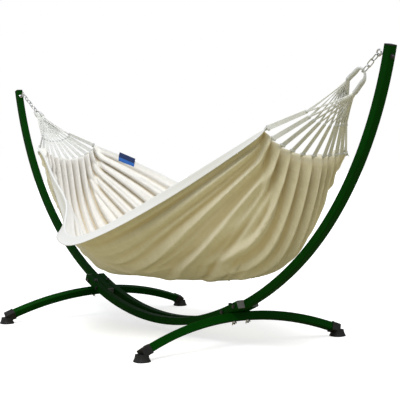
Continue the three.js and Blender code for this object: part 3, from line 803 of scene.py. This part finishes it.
def addFootFasteners():
    fall = stand["footRadius"] - np.sqrt(stand["footRadius"] ** 2 - stand["railOffset"] ** 2)
    lean = bolt["washer"] * stand["railOffset"] / stand["footRadius"]
    under = footDrop + half + fall + lean + stand["touch"]
    for end in ends:
        axis = inward(end["side"] * stand["foot"])
        for flank in flanks:
            label = f"{end['name']}_{flank['name']}"
            middle = sidePoint(end["side"] * stand["foot"], flank["side"] * stand["railOffset"])
            part = placed(knobPart(half + under + 15 * mm), middle + axis * half, axis)
            addPiece(f"foot_bolt_{label}_turned", [part], "stand", "black", [f"foot_bolt_{label}"], 25.0)
            parts = [placed(p, middle - axis * under, axis) for p in wingNutParts()]
            name = f"wing_nut_{label}"
            addPiece(name + "_cast", parts, name, "zinc", [name], 30.0)


addArmBolts()
addFootFasteners()
print("fasteners built")


# Eye bolts and chains

hang = dict(
    drop=0.042, eyeReach=0.060, eyeRadius=13 * mm, eyeWire=3.5 * mm, swingGap=1.6 * mm,
    linkWire=2.5 * mm, linkEnd=10.5 * mm, linkStraight=22 * mm, links=dict(right=3, left=6),
    slope=dict(right=36.0, left=31.0), loopCord=5.5 * mm, loopSpan=0.082, fan=0.415,
)
eyeAngle = stand["tip"] - np.degrees(hang["drop"] / stand["armRadius"])


def hanging(end):
    # Down one straight line from the eye: pivot, chain, rope loop, neck and the end of the cloth
    slope = np.radians(hang["slope"][end["name"]])
    ahead = np.array([-end["side"] * np.cos(slope), 0.0, -np.sin(slope)])
    eye = sidePoint(end["side"] * eyeAngle, 0.0, hang["eyeReach"])
    pivot = eye + ahead * (hang["eyeRadius"] - hang["eyeWire"] - hang["linkWire"] - hang["swingGap"])
    span = 2 * hang["linkEnd"] + hang["linkStraight"]
    pitch = span - 2 * hang["linkWire"] - stand["touch"]
    chain = (hang["links"][end["name"]] - 1) * pitch + span
    loop = pivot + ahead * (chain - hang["linkWire"] - stand["touch"] - hang["loopCord"])
    neck = loop + ahead * hang["loopSpan"]
    return dict(ahead=ahead, pivot=pivot, pitch=pitch, loop=loop, neck=neck,
                clothEnd=neck + ahead * hang["fan"], upright=np.cross([0.0, 1.0, 0.0], ahead))


hangs = {end["name"]: hanging(end) for end in ends}


def ringPart(radius, wire, sides=20, steps=64):
    angle = np.arange(steps) / steps * 2 * np.pi
    out = np.stack([np.cos(angle), np.zeros(steps), np.sin(angle)], -1)
    return carried(out * radius, out, np.array([0.0, 1.0, 0.0]), circle(wire, sides), closed=True)


def addEyeBolts():
    for end in ends:
        angle = end["side"] * eyeAngle
        seat, axis = sidePoint(angle, 0.0, half), inward(angle)
        stem = hang["eyeReach"] - half - hang["eyeRadius"] - 1.5 * mm
        low = -stand["tube"] - bolt["nutHigh"]
        radii = np.array([3.5, 5, 5, 10.4, 11, 11, 9.4, 7.6, 5.4, 4.6, 4.2]) * mm
        heights = np.array([low, low + 1 * mm, 0.8 * mm, 0.8 * mm, 1.3 * mm, 2.6 * mm, 3.4 * mm, 5.6 * mm,
                            6.2 * mm, stem - 1 * mm, stem])
        ring = placed(ringPart(hang["eyeRadius"], hang["eyeWire"]), (0, 0, 0), (0, 0, 1))
        ring["points"] = ring["points"] + [0, 0, hang["eyeReach"] - half]
        parts = [placed(p, seat, axis) for p in (turned(radii, heights, 32), ring)]
        addPiece(f"eye_bolt_{end['name']}_forged", parts, "stand", "zinc", [f"eye_bolt_{end['name']}"], 25.0)
        dome = np.radians(np.linspace(0, 90, 8))
        w, b, head = bolt["washer"], bolt["bevel"], bolt["head"]
        radii = [3 * mm, w - b, w, w, w - b, head * 0.96, head, head, head * 0.86]
        radii += list(8 * mm * np.cos(dome))[:-1] + [0.3 * mm]
        heights = [0, 0, b, 2 * mm - b, 2 * mm, 2 * mm, 2 * mm + b, 6.6 * mm, 7.4 * mm]
        heights += list((7.4 + 6 * np.sin(dome)) * mm)
        flats = [0, 0, 0, 0, 0, 1, 1, 1, 0.2] + [0] * 8
        place = sidePoint(angle, 0.0, -half - stand["touch"])
        cap = placed(turned(np.array(radii), heights, 36, np.array(flats)), place, -axis)
        addPiece(f"eye_nut_{end['name']}_turned", [cap], "stand", "black", [f"eye_nut_{end['name']}"], 25.0)


def linkPart():
    # A circle carried round two half circles and two straights, with a small weld bead on one straight
    reach, radius, wire = hang["linkStraight"] / 2, hang["linkEnd"], hang["linkWire"]
    far = np.radians(np.linspace(-90, 90, 21))
    near = np.radians(np.linspace(90, 270, 21))
    bead = np.linspace(0.6, -0.6, 9)
    z = np.concatenate([reach + radius * np.cos(far), bead * reach, -reach + radius * np.cos(near)])
    y = np.concatenate([radius * np.sin(far), np.full(9, radius), radius * np.sin(near)])
    path = np.stack([np.zeros_like(z), y, z + reach + radius], -1)
    out = unit(np.stack([np.zeros_like(z), y, np.sign(z) * np.maximum(np.abs(z) - reach, 0)], -1))
    swell = np.concatenate([np.ones(21), 1 + 0.16 * np.exp(-(bead / 0.16) ** 2), np.ones(21)])
    section = circle(wire, 16) * swell[:, None, None]
    return carried(path, out, np.array([-1.0, 0.0, 0.0]), section, closed=True)


def addChains():
    for end in ends:
        hung = hangs[end["name"]]
        for i in range(hang["links"][end["name"]]):
            name = f"chain_link_{end['name']}_{i + 1}"
            hint = (0, 1, 0) if i % 2 == 0 else hung["upright"]
            part = placed(linkPart(), hung["pivot"] + hung["ahead"] * hung["pitch"] * i, hung["ahead"], hint)
            addPiece(name + "_welded", [part], "hammock", "zinc", [name])


addEyeBolts()
addChains()
print("eye bolts and chains built")


# The cloth. near and far: y, height above the end of the ropes, and crown. lowest: y and that height.
# slack and tuck: place and reach along the cloth, from -1 to 1, and size in metres.

sling = dict(
    low=0.280, middleNear=(-0.565, 0.535), middleFar=(0.530, 0.600), soft=0.2, runPower=1.3, opening=0.6,
    slack=(-0.50, 0.27, 0.034), tuck=(-0.42, 0.22, 0.062),
    right=dict(
        near=(-0.213, 0.064, 0.016), lowest=(0.060, -0.058), far=(0.230, -0.034, 0.0), belly=0.130, steep=10),
    left=dict(
        near=(-0.182, 0.020, 0.0), lowest=(0.0, -0.055), far=(0.190, 0.028, 0.040), belly=0.060, steep=7),
)
slingMiddle = (hangs["right"]["clothEnd"][0] + hangs["left"]["clothEnd"][0]) / 2
slingReach = (hangs["right"]["clothEnd"][0] - hangs["left"]["clothEnd"][0]) / 2


def slingPoint(along, across):
    # Lowest line from end to end, rims on both sides, and between them a hollow that opens towards the ends
    along, across = np.broadcast_arrays(np.asarray(along, float), np.asarray(across, float))
    length, spread = np.abs(along), np.abs(across)

    def pick(getter):
        return np.where(along < 0, getter(sling["left"]), getter(sling["right"]))

    def edge(i):
        return np.where(across < 0, pick(lambda row: row["near"][i]), pick(lambda row: row["far"][i]))

    rowZ = np.where(along < 0, hangs["left"]["clothEnd"][2], hangs["right"]["clothEnd"][2])
    middleY = np.where(across < 0, sling["middleNear"][0], sling["middleFar"][0])
    middleZ = np.where(across < 0, sling["middleNear"][1], sling["middleFar"][1])
    belly = pick(lambda row: row["belly"])
    bottomZ = sling["low"] + belly * length ** 2
    place, reach, drop = sling["slack"]
    bottomZ = bottomZ - drop * np.exp(-((along - place) / reach) ** 2)
    bottomZ = bottomZ + (rowZ + pick(lambda row: row["lowest"][1]) - sling["low"] - belly) * length ** pick(
        lambda row: row["steep"])
    bottomY = pick(lambda row: row["lowest"][0]) * length ** 3
    soft = sling["soft"]
    share = (np.sqrt(length ** 2 + soft ** 2) - soft) / (np.sqrt(1 + soft ** 2) - soft)
    edgeZ = middleZ + (rowZ + edge(1) - middleZ) * share + 4 * edge(2) * share * (1 - share)
    edgeY = edge(0) + (middleY - edge(0)) * np.maximum(0, 1 - share) ** sling["runPower"]
    place, reach, shift = sling["tuck"]
    edgeY = edgeY + np.where(across < 0, shift * np.exp(-((along - place) / reach) ** 2), 0)
    quarter, opening = spread * np.pi / 2, 1 - sling["opening"] * length ** 2
    y = bottomY + (edgeY - bottomY) * ((1 - opening) * np.sin(quarter) + opening * spread)
    z = bottomZ + (edgeZ - bottomZ) * ((1 - opening) * (1 - np.cos(quarter)) + opening * spread ** 2)
    return np.stack(np.broadcast_arrays(slingMiddle + slingReach * along, y, z), -1)


def slingNormal(along, across, step=2e-3):
    # Outward (downward) normal: the across direction crossed with the along direction
    low, high = np.clip(along - step, -1, 1), np.clip(along + step, -1, 1)
    run = slingPoint(high, across) - slingPoint(low, across)
    low, high = np.clip(across - step, -1, 1), np.clip(across + step, -1, 1)
    return unit(np.cross(slingPoint(along, high) - slingPoint(along, low), run))


pleats = dict(
    count=11, atEnd=0.016, inMiddle=0.0058, fade=1.1, crease=0.27, wander=0.5, wrinkle=0.0012,
    second=0.45, third=0.35, runAlong=0.55, runAcross=0.84,
    steps=(300, 236), scallop=0.020, thickness=1.6 * mm,
)
hem = dict(
    width=0.062, atEnds=(0.018, 0.044), corner=(-0.42, 0.20, 0.040), roll=5.0 * mm,
    lean=(0.62, 0.20), back=0.10, rows=14, flare=6 * mm, calm=0.10,
)


def smooth(low, high, value):
    t = np.clip((value - low) / (high - low), 0, 1)
    return t * t * (3 - 2 * t)


def ripple(along, across, count, size, seed):
    # A sum of sines of rising pitch across the cloth and slow drift along it, from a seeded draw
    draw = np.random.default_rng(seed)
    pitch = draw.uniform(3, 3 + size, count)
    drift = draw.uniform(-2.2, 2.2, count)
    start = draw.uniform(0, 2 * np.pi, count)
    waves = np.sin(pitch * across[..., None] * np.pi + drift * along[..., None] * np.pi + start)
    return waves.sum(-1) / np.sqrt(count)


def fanWave(along, across, side):
    # Pleats lie on straight lines out of the rope's neck, so a point's pleat is its tilt below the rim's: the
    # angle whose tangent is the drop from the neck over the weighted runs along and across the hammock
    neck = hangs["right" if side > 0 else "left"]["neck"]
    share = np.linspace(0, 1, 80)

    def tilt(points):
        gap = points - neck
        apart = np.sqrt(gap[..., 1] ** 2 + 0.0004)
        run = pleats["runAlong"] * np.abs(gap[..., 0]) + pleats["runAcross"] * apart
        return np.arctan2(-gap[..., 2], run)

    endTilt = tilt(slingPoint(np.full(80, float(side)), share - 1))
    endTilt = np.maximum.accumulate(endTilt) + share * 0.02
    rim = tilt(slingPoint(along, np.where(across < 0, -1.0, 1.0)))
    own = tilt(slingPoint(along, across)) - rim + endTilt[0]
    beyond = np.maximum(own - endTilt[-1], 0) / (endTilt[-1] - endTilt[0])
    fromRim = np.interp(own, endTilt, share) + beyond
    inner = 1 - np.abs(along) ** 2
    wander = pleats["wander"] * inner * ripple(along, across, 4, 3.0, 11 + side)
    phase = np.pi * pleats["count"] * fromRim + wander
    second = pleats["crease"] + pleats["second"] * inner
    return np.cos(phase) + second * np.cos(2 * phase + 0.7 * inner) + pleats["third"] * inner * np.cos(
        3.3 * phase + 2.0)


def foldWave(along, across):
    # The folds of the two ends cross-fade in the middle; at the ends and lowest line they run lengthwise
    along, across = np.asarray(along, float), np.asarray(across, float)
    rightShare = smooth(-0.5, 0.5, along)
    fanned = rightShare * fanWave(along, across, 1) + (1 - rightShare) * fanWave(along, across, -1)
    phase = np.pi * pleats["count"] * (across + 1)
    straight = np.cos(phase) + pleats["crease"] * np.cos(2 * phase)
    low = smooth(0.40, 0.85, np.abs(along)) * smooth(0.85, 0.35, np.abs(across))
    share = np.maximum(low, smooth(0.86, 1.0, np.abs(along)))
    flatter = 1 - 0.8 * smooth(0.4, 0.0, np.abs(across)) * smooth(0.95, 0.7, np.abs(along))
    return (fanned * (1 - share) + straight * share) * flatter


def pleatHeight(along, across):
    # Lengthwise pleats, deep at the ends and shallow between, with finer wrinkles, held flat at the rims
    wave = foldWave(along, across)
    reach = pleats["atEnd"] * np.abs(along) ** pleats["fade"] * (0.8 + 0.2 * np.cos(3.1 * across + 1.2))
    middle = pleats["inMiddle"] * (1 + 0.35 * ripple(along * 0.4, across, 4, 4.0, 23))
    small = pleats["wrinkle"] * ripple(along, across, 7, 26.0, 5) * (0.4 + 0.6 * np.abs(along))
    taut = smooth(1.0, 1.0 - hem["calm"], np.abs(across))
    inset = (1 + pleats["crease"]) * pleats["inMiddle"] + pleats["wrinkle"]
    return (wave * (reach + middle) + small - inset * (1 - np.abs(along) ** 6)) * taut


def clothBody():
    rows, columns = pleats["steps"]
    along = np.sin(np.linspace(-1, 1, rows) * 1.25) / np.sin(1.25)
    across = np.linspace(-1, 1, columns)
    u, v = np.meshgrid(along, across, indexing="ij")
    points = slingPoint(u, v) + slingNormal(u, v) * pleatHeight(u, v)[..., None]
    # the end rows are drawn out where a bundle of cords pulls and hang back between two bundles
    pull = np.cos(np.pi * pleats["count"] * (v + 1)) * smooth(0.9, 1.0, np.abs(u)) * pleats["scallop"]
    points[..., 0] += np.sign(u) * (pull - pleats["scallop"] * 0.6 * smooth(0.9, 1.0, np.abs(u)))
    return along, points


def hemBand(along, rim, inner, side):
    # Rolls over the rim on a small radius until it hangs down, leaning out: the sum of turned directions
    rise = unit(rim - inner)
    run = unit(np.gradient(rim, along, axis=0))
    over = unit(np.cross(run, rise)) * -side
    ends = smooth(0.1, 0.75, np.abs(along))
    lean = hem["lean"][0] + (hem["lean"][1] - hem["lean"][0]) * ends
    lean = lean * (1 - (side < 0) * smooth(-0.1, -0.45, along))
    hangWay = np.stack([np.zeros_like(lean), side * lean, -np.sqrt(1 - lean ** 2)], -1)
    full = np.arctan2((hangWay * over).sum(-1), (hangWay * rise).sum(-1))[:, None]
    share = np.linspace(0, 1, hem["rows"] + 1)[1:] ** 1.6
    atEnd = np.where(along < 0, *hem["atEnds"])
    place, reach, extra = hem["corner"]
    width = hem["width"] + (side < 0) * extra * np.exp(-((along - place) / reach) ** 2)
    width = width + (atEnd - width) * smooth(0.5, 1.0, np.abs(along))
    length = share[None] * width[:, None]
    angle = np.minimum(length / hem["roll"], full) - hem["back"] * smooth(0.3, 1.0, share)[None] * full
    ahead = rise[:, None] * np.cos(angle)[..., None] + over[:, None] * np.sin(angle)[..., None]
    steps = np.diff(np.concatenate([np.zeros((len(along), 1)), length], 1), axis=1)
    points = rim[:, None] + np.cumsum(ahead * steps[..., None], axis=1)
    wave = hem["flare"] * np.sin(along * 9.0 + side) * (0.25 + np.abs(along))
    points += over[:, None] * (wave[:, None] * share[None] ** 2)[..., None]
    return points


def addCloth():
    along, body = clothBody()
    near = hemBand(along, body[:, 0], body[:, 2], -1)
    far = hemBand(along, body[:, -1], body[:, -3], 1)
    points = np.concatenate([near[:, ::-1], body, far], axis=1)
    rows, columns = points.shape[:2]
    # flat coordinates: metres along from the girth of the lowest line, metres across from the middle row
    middle = points[rows // 2]
    widths = np.append(0, np.cumsum(np.linalg.norm(np.diff(middle, axis=0), axis=-1)))
    centre = points[:, columns // 2]
    lengths = np.append(0, np.cumsum(np.linalg.norm(np.diff(centre, axis=0), axis=-1)))
    part = gridPart(points, lengths, wrapColumns=False, widths=widths)
    mesh = bpy.data.meshes.new("hammock_cloth_woven")
    mesh.from_pydata(part["points"].tolist(), [], part["quads"].tolist())
    mesh.uv_layers.new(name="run").data.foreach_set("uv", part["uv"].ravel())
    # hem: 1 on the bands and a fifth on the end hems; seam: metres from the nearest line of stitches
    index = np.arange(columns)
    rowsOfHem = hem["rows"]
    band = np.where((index < rowsOfHem) | (index >= columns - rowsOfHem), 1.0, 0.0)
    inRim = sum(smooth(0.004, 0.0, np.abs(widths - widths[row])) for row in (rowsOfHem, -1 - rowsOfHem))
    seamAcross = np.minimum.reduce([np.abs(widths - place) for place in (
        widths[rowsOfHem] + 0.006, widths[0] + 0.005, widths[-1 - rowsOfHem] - 0.006, widths[-1] - 0.005)])
    fromEnd = np.minimum(lengths - lengths[0], lengths[-1] - lengths)
    seamAlong = np.minimum(np.abs(fromEnd - 0.006), np.abs(fromEnd - 0.028))
    masks = dict(
        hem=np.maximum(
            np.maximum(band, np.clip(inRim, 0, 1))[None], 0.2 * smooth(0.033, 0.030, fromEnd)[:, None]),
        seam=np.minimum(seamAcross[None], seamAlong[:, None]),
    )
    u, v = np.meshgrid(along, np.linspace(-1, 1, pleats["steps"][1]), indexing="ij")
    # the fold wave, kept only as the mask for painted shade in the fold hollows
    foldShadeMask = foldWave(u, v) * (0.3 + 0.7 * np.abs(u)) * smooth(1.0, 1.0 - hem["calm"], np.abs(v))
    masks["foldShadeMask"] = np.pad(foldShadeMask, ((0, 0), (rowsOfHem, rowsOfHem)))
    for label, values in masks.items():
        layer = mesh.attributes.new(label, "FLOAT", "POINT")
        layer.data.foreach_set("value", np.broadcast_to(values, (rows, columns)).astype(np.float32).ravel())
    mesh.shade_smooth()
    piece = bpy.data.objects.new("hammock_cloth_woven", mesh)
    bpy.context.scene.collection.objects.link(piece)
    # outer faces take the painted-shade outside copy, the solidified inner shell the painted-light inside
    # copy
    mesh.materials.append(finishes["outside"]["material"])
    mesh.materials.append(finishes["inside"]["material"])
    wall = piece.modifiers.new("thickness", "SOLIDIFY")
    wall.thickness, wall.offset, wall.material_offset = pleats["thickness"], -1.0, 1
    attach(piece, "hammock")
    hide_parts("hammock_cloth")
    return piece


# The rope ends

fan = dict(
    bundles=12, cords=5, cord=2.0 * mm, cordGap=4.7 * mm, twist=22 * mm, sag=4 * mm,
    legLength=dict(right=0.074, left=0.052), legSpread=dict(right=0.036, left=0.018),
    archRadius=dict(right=0.031, left=0.018), legRadius=5.6 * mm, legSwell=5.6 * mm, legEndSpread=8.5 * mm,
    wrapPitch=3.1 * mm, wrapDepth=0.9 * mm, knotShare=0.575, knotGather=0.86, knotRadius=6.6 * mm,
    knotLength=15 * mm, eyelet=6.5 * mm, eyeletCord=1.3 * mm, goldenTurn=2.399963,
)


def manyCords(starts, stops, radius, twistPitch, sag=0.0, step=3.4 * mm, sides=10):
    # Straight cords all at once, a little slack in the middle, each a circle pinched twice and wound along it
    length = np.linalg.norm(stops - starts, axis=-1)
    count = max(8, int(length.max() / step))
    t = np.linspace(0, 1, count)
    ahead = unit(stops - starts)
    side = unit(np.cross(ahead, [0.0, 0.0, 1.0]))
    up = np.cross(ahead, side) * -1
    path = starts[:, None] + (stops - starts)[:, None] * t[:, None]
    path[..., 2] -= sag * 4 * (t * (1 - t))
    angle = np.arange(sides) / sides * 2 * np.pi
    wind = angle[None, None] - 2 * np.pi * (length[:, None] * t)[..., None] / twistPitch
    reach = radius * (0.9 + 0.16 * np.abs(np.cos(wind)))
    points = path[:, :, None] + side[:, None, None] * (reach * np.cos(angle))[..., None] \
        + up[:, None, None] * (reach * np.sin(angle))[..., None]
    return [gridPart(p, size * t, capped=True) for p, size in zip(points, length)]


def loopParts(side, spreadAxis):
    # A horseshoe in the plane of the rope and spreadAxis, wound with thin cord: the radius follows the
    # absolute sine of the cord's turns
    hung, radius, spread = hangs[side], fan["archRadius"][side], fan["legSpread"][side]
    bend = np.radians(np.linspace(0, 90, 24))
    leg = np.linspace(0, 1, 40)[1:]
    a = np.concatenate([radius * (1 - np.cos(bend)), radius + fan["legLength"][side] * leg])
    widening = np.sin(leg * 2.2) / np.sin(2.2) * leg
    b = np.concatenate([radius * np.sin(bend), radius + (spread - radius) * widening])
    a, b = np.concatenate([a[::-1], a[1:]]), np.concatenate([b[::-1], -b[1:]])
    rough = hung["loop"] + hung["ahead"] * a[:, None] + spreadAxis * b[:, None]
    along = np.append(0, np.cumsum(np.linalg.norm(np.diff(rough, axis=0), axis=-1)))
    fine = np.arange(0, along[-1], fan["wrapPitch"] / 6)
    path = np.stack([np.interp(fine, along, rough[:, i]) for i in range(3)], -1)
    kernel = np.hanning(25) / np.hanning(25).sum()
    inside = np.stack([np.convolve(
        np.pad(path[:, i], 12, mode="reflect", reflect_type="odd"), kernel, "valid") for i in range(3)], -1)
    ahead = unit(np.gradient(inside, axis=0))
    flat = unit(np.cross(spreadAxis, hung["ahead"]))
    up = np.cross(ahead, flat)
    angle = np.arange(22) / 22 * 2 * np.pi
    turns = np.pi * fine[:, None] / fan["wrapPitch"] - angle / 2
    apart = np.abs(fine - fine[-1] / 2)[:, None]
    swell = fan["legRadius"] + fan["legSwell"] * smooth(0.014, 0.06, apart)
    swell = swell - fan["wrapDepth"] * (1 - np.abs(np.sin(turns)))
    tip = np.clip(np.minimum(fine, fine[-1] - fine) / 0.006, 0, 1)[:, None]
    swell = swell * (0.72 + 0.28 * np.sqrt(tip))
    section = swell[..., None] * np.stack([np.cos(angle), np.sin(angle)], -1)
    return carried(inside, flat, up, section), inside[[0, -1]], np.stack([-ahead[0], ahead[-1]])


def bundleSpots(end):
    # Where the bundles meet the end of the cloth: the tops of its pleats
    across = -1 + 2 * np.arange(fan["bundles"]) / (fan["bundles"] - 1)
    along = np.full(fan["bundles"], float(end["side"]))
    spots = slingPoint(along, across) + slingNormal(along, across) * pleatHeight(along, across)[:, None]
    spots[:, 0] += end["side"] * pleats["scallop"] * 0.4
    return spots


def knotPart(high):
    # A short wrapped lump: an ellipse turned about Z with the turns of the cord round it
    t = np.linspace(-1, 1, 25)
    swell = np.sqrt(np.clip(1 - t ** 2, 0, 1)) ** 0.6
    turns = 0.5 * mm * np.abs(np.sin(t * np.pi * 2.5))
    radii = np.maximum((fan["knotRadius"] + turns) * swell, 0.2 * mm)
    return turned(radii, t * high / 2, 12)


def addRopeEnd(end):
    hung, name = hangs[end["name"]], f"rope_end_{end['name']}"
    spreadAxis = hung["upright"] if hang["links"][end["name"]] % 2 else np.array([0.0, -1.0, 0.0])
    loop, tips, headings = loopParts(end["name"], spreadAxis)
    addPiece(name + "_loop", [loop], "hammock", "wrap", [name], 60.0)
    spots = bundleSpots(end)
    middle = spots.mean(0)
    knots = hung["neck"] + (spots - hung["neck"]) * fan["knotShare"]
    centre = hung["neck"] + (middle - hung["neck"]) * fan["knotShare"]
    knots = centre + (knots - centre) * fan["knotGather"]
    # upper cords: each knot takes its cords by turns from the two legs of the loop, so that they cross
    order = np.arange(fan["bundles"])[:, None]
    which = np.arange(fan["cords"])[None]
    legOf = which % 2
    number, total = order * fan["cords"] + which, fan["bundles"] * fan["cords"]
    turn = number * fan["goldenTurn"]  # golden angle, so that cords fill the leg's round end
    fill = np.sqrt((number + 0.5) / total) * fan["legEndSpread"]
    acrossLeg = np.stack([unit(np.cross(h, [0.0, 1.0, 0.2])) for h in headings])
    otherLeg = np.cross(headings, acrossLeg)
    starts = tips[legOf] - headings[legOf] * 0.004
    starts = starts + acrossLeg[legOf] * (fill * np.cos(turn))[..., None]
    starts = starts + otherLeg[legOf] * (fill * np.sin(turn))[..., None]
    rowRun = unit(np.gradient(spots, axis=0))
    shift = (which - (fan["cords"] - 1) / 2)[..., None]
    knotSpots = knots[:, None] + rowRun[:, None] * shift * 1.7 * mm
    upper = manyCords(starts.reshape(-1, 3), knotSpots.reshape(-1, 3), fan["cord"], fan["twist"], fan["sag"])
    low = spots[:, None] + rowRun[:, None] * shift * fan["cordGap"]
    high = knots[:, None] + rowRun[:, None] * shift * fan["cordGap"] * 0.75
    lower = manyCords(high.reshape(-1, 3), low.reshape(-1, 3), fan["cord"], fan["twist"])
    addPiece(name + "_cords", upper + lower, "hammock", "rope", (), 75.0)
    knotAxes = unit(spots - hung["neck"])
    lumps = [placed(knotPart(fan["knotLength"]), k, a) for k, a in zip(knots, knotAxes)]
    for spot, axis, run in zip(spots, unit(spots - knots), rowRun):
        ring = ringPart(fan["eyelet"], fan["eyeletCord"], 10, 28)
        ring["points"] = ring["points"] * [1, 1, 1.5]
        lumps.append(placed(ring, spot + axis * fan["eyelet"] * 0.6, axis, np.cross(axis, run)))
        bar = placed(knotPart(fan["cordGap"] * fan["cords"] * 1.25), spot - axis * 0.004, run)
        lumps.append(bar)
    addPiece(name + "_knots", lumps, "hammock", "wrap", (), 60.0)


# The label on the far hem

tab = dict(
    along=-0.752, width=0.122, height=0.054, above=0.020, thickness=1.8 * mm, grid=(26, 14), gap=2.4 * mm,
)


def addLabel():
    # A rectangle that follows the rim: across runs from above the rim down over the inner face
    side = np.linspace(-0.5, 0.5, tab["grid"][0])
    drop = np.linspace(0, 1, tab["grid"][1])
    along = tab["along"] + side * tab["width"] / slingReach
    rim = slingPoint(along, 1.0)
    inner = slingPoint(along, 0.9)
    down = unit(inner - rim)
    run = unit(np.gradient(rim, axis=0))
    lift = unit(np.cross(run, down))
    lift = lift * np.sign(lift[:, 2:])
    path = rim[:, None] + down[:, None] * ((drop * tab["height"] - tab["above"])[None, :, None])
    points = path + lift[:, None] * (tab["gap"] + 0.004 * np.sin(drop * np.pi))[None, :, None]
    widths = np.append(drop * tab["height"], tab["height"] * 1.1)
    part = gridPart(points, side * tab["width"], wrapColumns=False, widths=widths)
    part["uv"] = np.stack([part["uv"][..., 1], tab["height"] - part["uv"][..., 0]], -1)
    piece = addPiece("edge_label_woven", [part], "hammock", "label", ["edge_label"], 60.0)
    wall = piece.modifiers.new("thickness", "SOLIDIFY")
    wall.thickness, wall.offset = tab["thickness"], 0.0
    return piece


woven = addCloth()
print("cloth built")
for end in ends:
    addRopeEnd(end)
label = addLabel()
print("ropes and label built")
